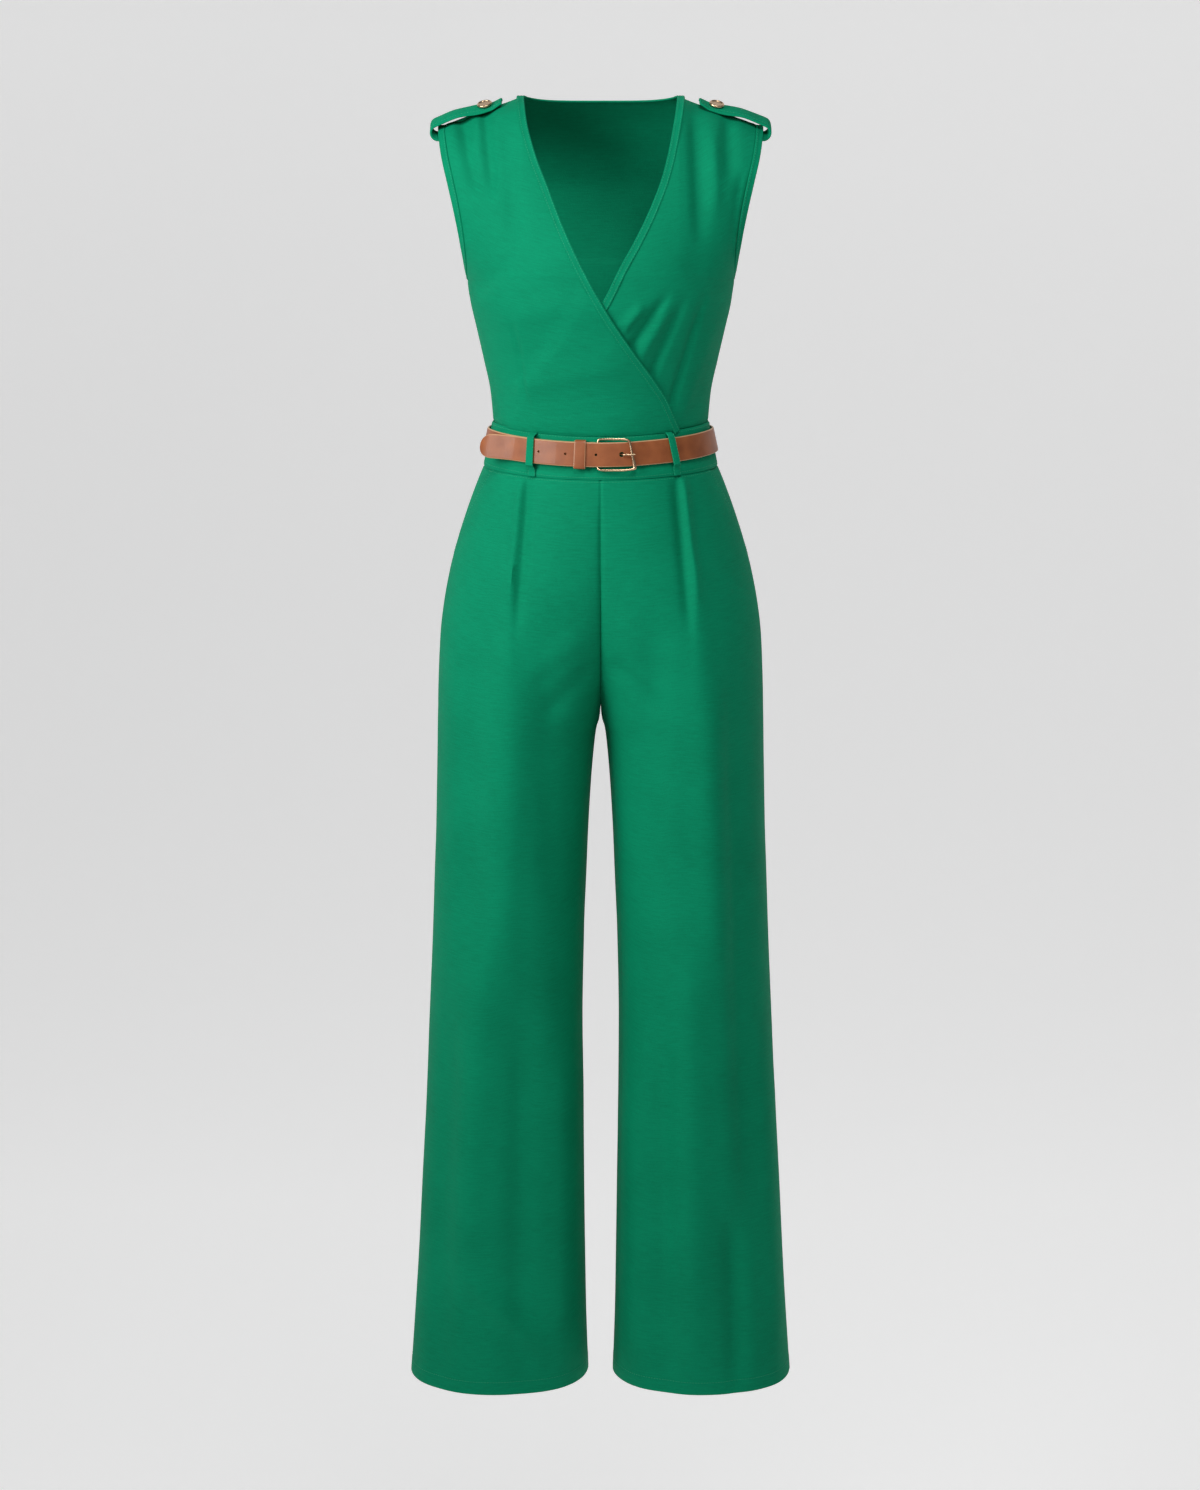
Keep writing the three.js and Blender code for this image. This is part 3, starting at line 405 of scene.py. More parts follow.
def crepe_material():
    """Matte crepe: fine crossed threads, slubs along the warp, a soft sheen and nap."""
    material, nodes, links, shader, place = new_material("green_crepe")
    shader.inputs["Roughness"].default_value = 0.72
    shader.inputs["Specular IOR Level"].default_value = 0.05
    shader.inputs["Sheen Weight"].default_value = 0.04
    shader.inputs["Sheen Roughness"].default_value = 0.45
    shader.inputs["Sheen Tint"].default_value = CREPE_SHEEN
    along = place.outputs["UV"]
    weave = nodes.new("ShaderNodeMath")
    weave.operation = "ADD"
    for socket, scale in zip(weave.inputs, (WEFT_SCALE, WARP_SCALE)):
        threads = noise(nodes, links, stretched(nodes, links, along, scale), 1, 2)
        links.new(threads, socket)
    bumped(nodes, links, shader, weave.outputs["Value"], 0.6, 0.0004)
    patches = noise(nodes, links, place.outputs["Object"], PATCH_SCALE, 3)
    slubs = noise(nodes, links, stretched(nodes, links, along, SLUB_SCALE), 1, 3)
    tones = nodes.new("ShaderNodeMix")
    tones.data_type = "FLOAT"
    tones.inputs["Factor"].default_value = 0.6
    links.new(patches, tones.inputs["A"])
    links.new(slubs, tones.inputs["B"])
    shade = nodes.new("ShaderNodeMath")
    shade.operation = "MULTIPLY_ADD"
    shade.inputs[1].default_value = 0.35
    links.new(weave.outputs["Value"], shade.inputs[0])
    links.new(tones.outputs["Result"], shade.inputs[2])
    ends = ((0.45, CREPE_SHADE), (1.0, CREPE_GREEN))
    colour = colour_ramp(nodes, links, shade.outputs["Value"], *ends)
    links.new(colour, shader.inputs["Base Color"])
    return material


CREPE = crepe_material()


def dress(piece, node, material):
    """Gives a finished piece its material and its place in the part."""
    piece.data.materials.append(material)
    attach(piece, "root")
    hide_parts(node)


def neck_level(turn, distance):
    """Level on the back that lies a given distance down from the neckline."""
    neck = math.asin(NECK_HALF / SHOULDER_HALF)
    share = np.clip(np.abs(np.sin(turn)) / math.sin(neck), 0, 1)
    top = 1 - BACK_NECK_DROP * (1 - share**BACK_NECK_POWER) ** 0.5
    rim = bodice_point(1, turn, top)
    low, high = np.full(top.shape, 0.8), top.copy()
    for _ in range(26):
        level = (low + high) / 2
        far = np.linalg.norm(bodice_point(1, turn, level) - rim, axis=-1) > distance
        low, high = np.where(far, level, low), np.where(far, high, level)
    return low


BACK_FOLDS = (  # from x z, to x z, left width, right width, height
    (-62, -330, -56, -196, 9, 5, -1.6),
    (62, -330, 57, -190, 5, 9, -1.6),
    (-112, -300, -20, -268, 12, 9, 1.8),
    (104, -318, 30, -286, 10, 12, 1.6),
    (-96, -262, -40, -228, 14, 12, -1.3),
    (120, -60, 96, -150, 12, 12, -1.8),
    (-124, -50, -102, -160, 12, 12, -2.0),
)
BACK_ROWS = 120
SHOULDER_COLUMNS = 38
NECK_COLUMNS = 77
NECK_SHAPED_FROM = 0.85
UNDER_BINDING = 4.0
BACK_SLACK = (0.7, 34)  # height and length of the soft unevenness
BACK_CALM = 12
BACK_CALM_LEAST = 0.35
neck_turn = math.asin(NECK_HALF / SHOULDER_HALF)
past_neck = (math.pi / 2 - neck_turn) * eased(SHOULDER_COLUMNS)
across_neck = (eased(NECK_COLUMNS)[1:-1] * 2 - 1) * neck_turn
turn_steps = np.concatenate([-neck_turn - past_neck[::-1], across_neck, neck_turn + past_neck])
turn, level = np.meshgrid(turn_steps, eased(BACK_ROWS))
inside_neck = np.abs(turn) < neck_turn + 1e-9
top_level = np.where(inside_neck, neck_level(turn, UNDER_BINDING), 1.0)
share = (level - NECK_SHAPED_FROM) / (1 - NECK_SHAPED_FROM)
shaped = NECK_SHAPED_FROM + share * (top_level - NECK_SHAPED_FROM)
level = np.where(level <= NECK_SHAPED_FROM, level, shaped)
points = bodice_point(1, turn, level)
normals = bodice_normal(1, turn, level)
u, v = run_lengths(points)
lift = fold_lift(points, BACK_FOLDS) + slack(points, *BACK_SLACK, 1)
lift += seam_valley(u) + seam_valley(u[:, -1:] - u) + seam_valley(v)
lift += np.where(np.abs(turn) > neck_turn, seam_valley(v[-1:] - v), 0)
calm = smooth(u / BACK_CALM) * smooth((u[:, -1:] - u) / BACK_CALM)
outer = points + normals * (lift * np.maximum(calm, BACK_CALM_LEAST) - SUNK)[..., None]
bodice_back = mesh_piece("bodice_back_cloth", outer, outer - normals * CLOTH)
sharpen(bodice_back.data)
dress(bodice_back, "bodice_back", CREPE)

# Wrap fronts
# Two crossed crepe fronts, the wearer's right one on top. Each is cut with a slanting
# free edge and gathered a little into its shoulder; both are sewn in at the waist.
OVER_EDGE = table(
    "z across",
    (-345, 88), (-327, 80.5), (-303, 70.4), (-281, 57), (-255, 38.7), (-228, 20.4), (-202, 3.7),
    (-152, -23.7), (-117, -40), (-76, -56.3), (-42, -69.9), (-9, -79.3), (22, -84),
)
UNDER_EDGE = table(
    "z across",
    (-345, -88), (-303, -67), (-255, -36), (-220, -13), (-193, 3.7), (-160, 20.2), (-131, 36.6),
    (-98, 53), (-63, 66.6), (-31, 74.6), (9, 82), (22, 84),
)
OVER_LIFT = 2.3
OVER_LIFT_LEAST = 2.1
OVER_START = 40
OVER_BLEND = 26
UNDER_LIFT_MOST = 0.7
UNDER_FREE_RISE = 4
UNDER_FREE_BLEND = 16
UNDER_ROOM = 2
UNCOVERED_DROP = 9
FRONT_SLACK = (0.9, 30)
SIDE_CALM = 14
SIDE_CALM_LEAST = 0.3
BODICE_FOLD_SHARE = 1.6
NECK_BAND = 8.5
FRONT_ROWS = 170
FRONT_COLUMNS = 110


def wrap_edge(edge, level):
    """Turn of a wrap's free edge on each level."""
    half = read(BODICE, "level", "half", level)
    turn = np.zeros(level.shape)
    for _ in range(40):
        z = bodice_point(-1, turn, level)[..., 2]
        wanted = np.arcsin(np.clip(read(edge, "z", "across", z) / half, -1, 1))
        turn = 0.5 * turn + 0.5 * wanted
    return turn


def over_lift(points):
    """Height of the upper wrap above the pattern surface, from where it covers the lower."""
    start = read(UNDER_EDGE, "z", "across", points[..., 2]) - OVER_START
    return OVER_LIFT * smooth((points[..., 0] - start) / OVER_BLEND)


def under_room(points):
    """Across position beyond which the under panel lies free of the upper one."""
    return read(OVER_EDGE, "z", "across", points[..., 2]) + UNDER_ROOM


def wrap_front(sign, edge, folds, seed):
    """Outer grid of a wrap front and its normals, side seam to beneath its binding."""
    level = eased(FRONT_ROWS)
    end = wrap_edge(edge, level) - sign * UNDER_BINDING / read(BODICE, "level", "half", level)
    start = -sign * math.pi / 2
    turn = start + (end[:, None] - start) * eased(FRONT_COLUMNS)[None, :]
    level = np.repeat(level[:, None], FRONT_COLUMNS, 1)
    points = bodice_point(-1, turn, level)
    normals = bodice_normal(-1, turn, level)
    u, v = run_lengths(points)
    calm = np.maximum(smooth(u / SIDE_CALM), SIDE_CALM_LEAST)
    lift = BODICE_FOLD_SHARE * fold_lift(points, folds) + slack(points, *FRONT_SLACK, seed)
    lift *= calm
    lift += seam_valley(u) + seam_valley(v) + seam_valley(v[-1:] - v)
    if sign > 0:
        cover = over_lift(points) / OVER_LIFT
        least = cover * OVER_LIFT_LEAST - (1 - cover) * UNCOVERED_DROP
        lift = np.maximum(lift + over_lift(points), least)
    else:
        uncovered = smooth((points[..., 0] - under_room(points)) / UNDER_FREE_BLEND)
        lift = np.minimum(lift, UNDER_LIFT_MOST + UNDER_FREE_RISE * uncovered)
    return points + normals * (lift - SUNK)[..., None], normals


RIGHT_FOLDS = (  # from x z, to x z, left width, right width, height
    (-152, 0, -131, -92, 8, 12, -4.8),
    (-127, 8, -117, -84, 7, 10, -4.4),
    (-140, -22, -132, -100, 8, 8, 1.8),
    (-104, -14, -90, -140, 9, 12, -2.0),
    (-140, -190, -88, -150, 11, 13, -2.2),
    (-118, -222, -20, -196, 12, 16, 0.9),
    (-116, -260, 10, -232, 11, 15, -0.8),
    (-106, -294, 36, -262, 10, 13, 0.9),
    (-100, -320, 60, -300, 8, 11, -0.7),
    (-96, -218, -72, -348, 3, 4, -1.0),
    (-90, -218, -66, -348, 4, 5, 0.7),
)
LEFT_FOLDS = (  # from x z, to x z, left width, right width, height
    (102, 6, 107, -136, 8, 11, -3.4),
    (138, -2, 139, -72, 8, 9, -2.8),
    (121, -20, 124, -104, 8, 7, 1.6),
    (158, -60, 150, -160, 10, 12, -2.6),
    (22, -228, 46, -200, 5, 7, 2.4),
    (28, -256, 72, -190, 4, 7, -2.8),
    (50, -290, 90, -196, 4, 7, -2.6),
    (40, -262, 70, -210, 5, 5, 1.4),
    (74, -322, 112, -196, 3, 5, -2.4),
    (84, -330, 128, -214, 8, 10, 1.2),
    (140, -196, 92, -150, 11, 12, -1.5),
)
FRONTS = (
    ("bodice_front_right", 1, OVER_EDGE, RIGHT_FOLDS, 2),
    ("bodice_front_left", -1, UNDER_EDGE, LEFT_FOLDS, 3),
)
for node, sign, edge, folds, seed in FRONTS:
    outer, normals = wrap_front(sign, edge, folds, seed)
    piece = mesh_piece(node + "_cloth", outer, outer - normals * CLOTH)
    sharpen(piece.data)
    dress(piece, node, CREPE)

# Neck and armhole bindings
# Strips of the same crepe cut on the bias, folded round each raw edge and stitched
# through. The neck has one along each wrap edge and one behind; each armhole has a ring.
BAND_THICK = 2.2
BAND_ACROSS = (0, 0.02, 0.06, 0.12, 0.2, 0.5, 0.8, 0.88, 0.94, 0.98, 1.0)
BAND_ROUND = 0.12
BAND_EDGE_LEAST = 0.08
BAND_STITCH_SHARES = (0.2, 0.8)
BAND_STITCH_REACH = 0.05
STITCH_SINK = 0.25
NECK_RAISED = 0.9
NECK_STITCH_ROWS = (-6.8, -1.7)
NECK_STITCH_HEIGHT = 0.75
ARMHOLE_REACH = (-1.2, 6.9)
ARMHOLE_RAISED = 0.7
STITCH_SPACING = 0.0033
STITCH_LENGTH = 0.0024
STITCH_WIDTH = 0.00045
STITCH_SEED = 7


def stitch_group():
    """Node group that lays a row of thread stitches along each line of a mesh of edges."""
    group = bpy.data.node_groups.new("stitch_row", "GeometryNodeTree")
    face = group.interface
    face.new_socket(name="Lines", in_out="INPUT", socket_type="NodeSocketGeometry")
    for label in ("Spacing", "Stitch Length", "Stitch Width"):
        face.new_socket(name=label, in_out="INPUT", socket_type="NodeSocketFloat")
    face.new_socket(name="Seed", in_out="INPUT", socket_type="NodeSocketInt")
    face.new_socket(name="Thread", in_out="INPUT", socket_type="NodeSocketMaterial")
    face.new_socket(name="Stitches", in_out="OUTPUT", socket_type="NodeSocketGeometry")
    nodes, links = group.nodes, group.links
    given = nodes.new("NodeGroupInput")
    result = nodes.new("NodeGroupOutput")
    to_curve = nodes.new("GeometryNodeMeshToCurve")
    to_points = nodes.new("GeometryNodeCurveToPoints")
    to_points.mode = "LENGTH"
    align = nodes.new("FunctionNodeAlignRotationToVector")
    align.axis = "Z"
    drop = nodes.new("GeometryNodeMeshUVSphere")
    drop.inputs["Segments"].default_value = 6
    drop.inputs["Rings"].default_value = 4
    drop.inputs["Radius"].default_value = 0.5
    smooth_drop = nodes.new("GeometryNodeSetShadeSmooth")
    vary = nodes.new("FunctionNodeRandomValue")
    vary.data_type = "FLOAT"
    vary.inputs[2].default_value = 0.9
    vary.inputs[3].default_value = 1.08
    longer = nodes.new("ShaderNodeMath")
    longer.operation = "MULTIPLY"
    extent = nodes.new("ShaderNodeCombineXYZ")
    place = nodes.new("GeometryNodeInstanceOnPoints")
    realize = nodes.new("GeometryNodeRealizeInstances")
    paint = nodes.new("GeometryNodeSetMaterial")
    links.new(given.outputs["Lines"], to_curve.inputs["Mesh"])
    links.new(to_curve.outputs["Curve"], to_points.inputs["Curve"])
    links.new(given.outputs["Spacing"], to_points.inputs["Length"])
    links.new(to_points.outputs["Tangent"], align.inputs["Vector"])
    links.new(given.outputs["Seed"], vary.inputs["Seed"])
    links.new(given.outputs["Stitch Length"], longer.inputs[0])
    links.new(vary.outputs[1], longer.inputs[1])
    links.new(given.outputs["Stitch Width"], extent.inputs["X"])
    links.new(given.outputs["Stitch Width"], extent.inputs["Y"])
    links.new(longer.outputs["Value"], extent.inputs["Z"])
    links.new(drop.outputs["Mesh"], smooth_drop.inputs["Geometry"])
    links.new(to_points.outputs["Points"], place.inputs["Points"])
    links.new(smooth_drop.outputs["Geometry"], place.inputs["Instance"])
    links.new(align.outputs["Rotation"], place.inputs["Rotation"])
    links.new(extent.outputs["Vector"], place.inputs["Scale"])
    links.new(place.outputs["Instances"], realize.inputs["Geometry"])
    links.new(realize.outputs["Geometry"], paint.inputs["Geometry"])
    links.new(given.outputs["Thread"], paint.inputs["Material"])
    links.new(paint.outputs["Geometry"], result.inputs["Stitches"])
    return group


def thread_material():
    """Sewing thread a little lighter and smoother than the crepe."""
    material, _, _, shader, _ = new_material("green_thread")
    shader.inputs["Base Color"].default_value = (0.012, 0.34, 0.175, 1)
    shader.inputs["Roughness"].default_value = 0.5
    return material


STITCHES = stitch_group()
THREAD = thread_material()


def sew(node, lines):
    """Rows of stitches along lines of points in millimetres, as one plain mesh."""
    points = np.concatenate(lines) * MM
    edges = []
    first = 0
    for line in lines:
        edges += [(first + i, first + i + 1) for i in range(len(line) - 1)]
        first += len(line)
    mesh = bpy.data.meshes.new(node + "_lines")
    mesh.from_pydata(points.tolist(), edges, [])
    carrier = add_object(node + "_lines", mesh)
    modifier = carrier.modifiers.new("stitches", "NODES")
    modifier.node_group = STITCHES
    values = {
        "Spacing": STITCH_SPACING, "Stitch Length": STITCH_LENGTH, "Stitch Width": STITCH_WIDTH,
        "Seed": STITCH_SEED, "Thread": THREAD,
    }
    for socket in STITCHES.interface.items_tree:
        if socket.name in values:
            modifier[socket.identifier] = values[socket.name]
    bpy.context.view_layer.update()
    evaluated = carrier.evaluated_get(bpy.context.evaluated_depsgraph_get())
    made = bpy.data.meshes.new_from_object(evaluated)
    made.name = node + "_stitches"
    bpy.data.objects.remove(carrier)
    piece = add_object(node + "_stitches", made)
    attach(piece, "root")
    return piece


def line_where(points, normals, measure, wanted, raised=0.1):
    """Line across a grid where a measure that grows down its rows has one value."""
    lifted = points + normals * raised
    line = []
    for column in range(points.shape[1]):
        known = measure[:, column]
        line.append([np.interp(wanted, known, lifted[:, column, axis]) for axis in range(3)])
    return np.array(line)


def tangents(line, looped):
    """Unit directions along a line of points."""
    if looped:
        return unit(np.roll(line, -1, 0) - np.roll(line, 1, 0))
    return unit(np.gradient(line, axis=0))


def blurred(vectors, passes, looped):
    """Unit vectors evened out with their neighbours along a line."""
    for _ in range(passes):
        if looped:
            before, after = np.roll(vectors, 1, 0), np.roll(vectors, -1, 0)
        else:
            before = np.concatenate([vectors[:1], vectors[:-1]])
            after = np.concatenate([vectors[1:], vectors[-1:]])
        vectors = unit(vectors * 2 + before + after)
    return vectors


def band(name, line, normals, away, reach, raised, looped=False):
    """Folded strip round an edge: reach is its extent across, raised its outer height."""
    across = np.array(BAND_ACROSS)
    edge = np.minimum(across, 1 - across) / BAND_ROUND
    round_off = np.sqrt(np.clip(1 - (1 - np.clip(edge, 0, 1)) ** 2, 0, 1))
    rows = [np.exp(-(((across - row) / BAND_STITCH_REACH) ** 2)) for row in BAND_STITCH_SHARES]
    stitched = STITCH_SINK * (rows[0] + rows[1])
    place = reach[0] + (reach[1] - reach[0]) * across
    half = BAND_THICK / 2 * np.maximum(round_off, BAND_EDGE_LEAST)
    middle = raised - BAND_THICK / 2
    high = middle + half - stitched * round_off
    low = middle - half
    base = line[None] + away[None] * place[:, None, None]
    outer = base + normals[None] * high[:, None, None]
    inner = base + normals[None] * low[:, None, None]
    return mesh_piece(name, outer, inner, looped)


NECK_COUNT = 260
BEHIND_COUNT = 160
NECK_NORMAL_PASSES = 12
NECK_LINE_PASSES = 6
NECK_AWAY_PASSES = 10
NECK_MIDDLE = (0.0, -20.0, 30.0)  # a place in the neck opening
level = np.linspace(0, 1, NECK_COUNT)
over_turn = wrap_edge(OVER_EDGE, level)
under_turn = wrap_edge(UNDER_EDGE, level)
behind_turn = np.linspace(-neck_turn, neck_turn, BEHIND_COUNT)
behind_share = np.abs(np.sin(behind_turn)) / math.sin(neck_turn)
behind_level = 1 - BACK_NECK_DROP * np.sqrt(np.clip(1 - behind_share**BACK_NECK_POWER, 0, 1))
over_line = bodice_point(-1, over_turn, level)
under_line = bodice_point(-1, under_turn, level)
behind_line = bodice_point(1, behind_turn, behind_level)
over_normals = bodice_normal(-1, over_turn, level)
under_normals = bodice_normal(-1, under_turn, level)
behind_normals = bodice_normal(1, behind_turn, behind_level)
lifted = over_line + over_normals * over_lift(over_line)[:, None]
neck_line = np.concatenate([lifted, behind_line[1:-1], under_line[::-1]])
neck_normals = np.concatenate([over_normals, behind_normals[1:-1], under_normals[::-1]])
neck_normals = blurred(neck_normals, NECK_NORMAL_PASSES, False)
for _ in range(NECK_LINE_PASSES):
    middle_line = (neck_line[:-2] + neck_line[2:]) / 2
    neck_line[1:-1] = neck_line[1:-1] * 0.5 + middle_line * 0.5
neck_away = unit(np.cross(tangents(neck_line, False), neck_normals))
neck_away = blurred(neck_away, NECK_AWAY_PASSES, False)
back_middle = NECK_COUNT + BEHIND_COUNT // 2
to_middle = np.array(NECK_MIDDLE) - neck_line[back_middle]
if np.dot(neck_away[back_middle], to_middle) < 0:
    neck_away = -neck_away
back_end = NECK_COUNT + BEHIND_COUNT - 2
NECK_PIECES = (
    ("neck_binding_right", 0, NECK_COUNT),
    ("neck_binding_back", NECK_COUNT - 1, back_end),
    ("neck_binding_left", back_end - 1, len(neck_line)),
)
for node, first, last in NECK_PIECES:
    line, normals, away = (grid[first:last] for grid in (neck_line, neck_normals, neck_away))
    piece = band(node + "_strip", line, normals, away, (-NECK_BAND, 0.0), NECK_RAISED)
    dress(piece, node, CREPE)
    raised = line + normals * NECK_STITCH_HEIGHT
    stitches = sew(node, [raised + away * place for place in NECK_STITCH_ROWS])


ARMHOLE_STEPS = 120
ARMHOLE_CROWDING = 1.6
ARMHOLE_COUNT = 200
ARMHOLE_LINE_PASSES = 5
ARMHOLE_NORMAL_PASSES = 8
ARMHOLE_AWAY_PASSES = 6
ARMHOLE_MIDDLE = (165.0, 0, -105)  # a place in the wearer's left armhole
ARMHOLE_STITCH = (0.42, 0.55)  # in from the edge, and out from the cloth


def armhole_line(sign):
    """Edge points and normals round one armhole, from the underarm up the front."""
    low = UNDERARM + 1e-4
    level = low + (1 - low) * np.linspace(0, 1, ARMHOLE_STEPS) ** ARMHOLE_CROWDING
    side = sign * math.pi / 2
    turn = np.full(level.shape, side)
    front = bodice_point(-1, turn, level)
    back = bodice_point(1, turn, level)
    normals_front = bodice_normal(-1, turn, level)
    normals_back = bodice_normal(1, turn, level)
    line = np.concatenate([front, back[-2:0:-1]])
    normals = np.concatenate([normals_front, normals_back[-2:0:-1]])
    step = np.linalg.norm(np.roll(line, -1, 0) - line, axis=1)
    run = np.concatenate([[0], np.cumsum(step)])
    even = np.linspace(0, run[-1], ARMHOLE_COUNT + 1)[:-1]
    closed_line = np.concatenate([line, line[:1]])
    closed_normals = np.concatenate([normals, normals[:1]])
    line = np.stack([np.interp(even, run, closed_line[:, k]) for k in range(3)], -1)
    normals = np.stack([np.interp(even, run, closed_normals[:, k]) for k in range(3)], -1)
    for _ in range(ARMHOLE_LINE_PASSES):
        line = (line * 2 + np.roll(line, 1, 0) + np.roll(line, -1, 0)) / 4
    normals = blurred(unit(normals), ARMHOLE_NORMAL_PASSES, True)
    away = unit(np.cross(tangents(line, True), normals))
    middle = np.array(ARMHOLE_MIDDLE) * (sign, 1, 1)
    away = np.where(np.sum(away * (middle - line), -1, keepdims=True) < 0, -away, away)
    return line, normals, blurred(away, ARMHOLE_AWAY_PASSES, True)


for sign, word in ((-1, "right"), (1, "left")):
    line, normals, away = armhole_line(sign)
    node = "armhole_binding_" + word
    piece = band(node + "_strip", line, normals, away, ARMHOLE_REACH, ARMHOLE_RAISED, True)
    dress(piece, node, CREPE)
    row = line + away * ARMHOLE_STITCH[0] + normals * ARMHOLE_STITCH[1]
    stitches = sew(node, [np.concatenate([row, row[:1]])])

# Waistband
# A firm double strip of crepe between bodice and trousers, joined at both sides.
# It is cut in a front and a back piece, stiffened inside and edge-stitched.
WAIST_TOP_HALF = 120.4
WAIST_SPREAD = 10.4
WAIST_TOP_DEPTH = {-1: 97.0, 1: 93.0}
WAIST_DEPTH_SPREAD = {-1: 9.5, 1: 8.5}
WAISTBAND_SIDE_Z = -384.0
WAISTBAND_DIP = 5.0
WAISTBAND_THICK = 1.8
WAIST_RADIUS = 125
WAIST_RADIUS_DEEP = 100
WAISTBAND_ROWS = 34
WAISTBAND_COLUMNS = 150
WAISTBAND_STITCH_ROWS = (2.2, 45.5)
WAISTBAND_LIFT = 0.35
WAISTBAND_SEAM = (0.8, 1.3)  # depth and reach
WAISTBAND_SIDE_DEPTH = 0.5
WAISTBAND_RIDGE = (0.22, 5.5, 2.5)  # height, reach below the top, blend
WAISTBAND_SLACK = (0.25, 15)
WAISTBAND_SUNK = 0.2


def waist_point(side, turn, down):
    """Point on the waistband: turn 0 is the middle, down runs from 0 at the top to 1."""
    half = WAIST_TOP_HALF + WAIST_SPREAD * down
    depth = WAIST_TOP_DEPTH[side] + WAIST_DEPTH_SPREAD[side] * down
    across = np.sin(turn)
    dip = 1 - across**2 if side < 0 else 0 * across
    top = WAIST_SIDE_Z - WAIST_DIP * dip
    foot = WAISTBAND_SIDE_Z - WAISTBAND_DIP * dip
    return np.stack([half * across, side * depth * np.cos(turn), top + (foot - top) * down], -1)


def waist_normal(side, turn):
    """Outward normal of the waistband."""
    across, deep = np.sin(turn) / WAIST_RADIUS, side * np.cos(turn) / WAIST_RADIUS_DEEP
    return unit(np.stack([across, deep, 0 * turn], -1))


for side, word in ((-1, "front"), (1, "back")):
    turns = (eased(WAISTBAND_COLUMNS) - 0.5) * math.pi
    down, turn = np.meshgrid(eased(WAISTBAND_ROWS), turns, indexing="ij")
    points = waist_point(side, turn, down)
    normals = waist_normal(side, turn)
    u, v = run_lengths(points)
    reach = np.minimum(v, v[-1:] - v)
    lift = WAISTBAND_LIFT + seam_valley(reach, *WAISTBAND_SEAM)
    depth = WAISTBAND_SIDE_DEPTH
    lift += seam_valley(u, depth) + seam_valley(u[:, -1:] - u, depth)
    lift += WAISTBAND_RIDGE[0] * smooth((WAISTBAND_RIDGE[1] - v) / WAISTBAND_RIDGE[2])
    lift += slack(points, *WAISTBAND_SLACK, 5 + side)
    outer = points + normals * (lift - WAISTBAND_SUNK)[..., None]
    inner = points - normals * WAISTBAND_THICK
    node = "waistband_" + word
    piece = mesh_piece(node + "_cloth", outer, inner)
    sharpen(piece.data)
    dress(piece, node, CREPE)
    rows = [line_where(outer, normals, v, row) for row in WAISTBAND_STITCH_ROWS]
    stitches = sew(node, rows)

# Trouser legs
# Two fronts and two backs of crepe with wide straight legs. Each front has a pleat
# pressed from the waistband and a slant pocket; they are seamed at side, centre and inseam.
TROUSER = table(
    "z half gap join front back",
    (-384, 130.4, 0, 0, 106, 101),
    (-401, 137.5, 0, 0.02, 109, 107),
    (-435, 150.1, 0, 0.08, 113, 117),
    (-469, 161.0, 0, 0.16, 116, 125),
    (-503, 169.7, 0, 0.27, 118, 131),
    (-537, 176.2, 0, 0.4, 119, 134),
    (-571, 180.5, 0, 0.56, 119, 135),
    (-605, 182.5, 0, 0.74, 117, 131),
    (-640, 183.9, 0, 0.92, 114, 126),
    (-658, 184.3, 0.1, 0.98, 113, 123),
    (-667, 184.6, 0.8, 1, 112, 122),
    (-680, 184.9, 4.6, 1, 111, 120),
    (-709, 185.5, 8.0, 1, 109, 116),
    (-744, 186.4, 10.8, 1, 107, 112),
    (-796, 187.8, 13.8, 1, 104, 107),
    (-849, 190.0, 16.0, 1, 102, 103),
    (-920, 192.8, 19.0, 1, 100, 100),
    (-1027, 198.0, 20.8, 1, 97, 97),
    (-1118, 202.1, 20.4, 1, 95, 95),
    (-1209, 207.4, 19.3, 1, 93, 93),
    (-1301, 212.6, 18.0, 1, 91, 91),
    (-1375, 217.7, 16.8, 1, 90, 90),
    (-1451, 223.3, 14.4, 1, 89, 89),
)
LEG_POWER = 2.17
TROUSER_TOP = -384.0
HEM_Z = -1451.0
POCKET_TURN = 0.37
POCKET_FOOT = -485.0


def leg_end(z):
    """Turn of the centre seam or inseam at a height."""
    return np.arccos(-np.minimum(1, read(TROUSER, "z", "join", z)))


def leg_point(side, turn, z):
    """Point on the wearer's left leg: turn is 0 at the side seam."""
    half = read(TROUSER, "z", "half", z)
    gap = read(TROUSER, "z", "gap", z)
    join = read(TROUSER, "z", "join", z)
    depth = read(TROUSER, "z", "front" if side < 0 else "back", z)
    width = (half - gap) / (1 + join)
    power = 1 + (2 / LEG_POWER - 1) * join**2
    swell = np.sign(np.cos(turn)) * np.abs(np.cos(turn)) ** power
    fall = np.abs(np.sin(turn)) ** power
    return np.stack([half - width + width * swell, side * depth * fall, z + 0 * turn], -1)


def leg_normal(side, turn, z):
    """Outward normal of the wearer's left leg."""
    def outward(p):
        centre = read(TROUSER, "z", "half", p[..., 2]) * read(TROUSER, "z", "join", p[..., 2]) / 2
        return np.stack([p[..., 0] - centre, p[..., 1], 0 * turn], -1)

    step = 0.003
    rise = 0.6
    turn = np.clip(turn, 4 * step, leg_end(z) - 2 * step)
    lower = np.clip(z, HEM_Z + 1, TROUSER_TOP - 1)
    along_u = leg_point(side, turn + step, lower) - leg_point(side, turn - step, lower)
    along_v = leg_point(side, turn, lower + rise) - leg_point(side, turn, lower - rise)
    normal = unit(np.cross(along_u, along_v))
    facing = np.sum(normal * outward(leg_point(side, turn, lower)), -1, keepdims=True)
    return np.where(facing < 0, -normal, normal)


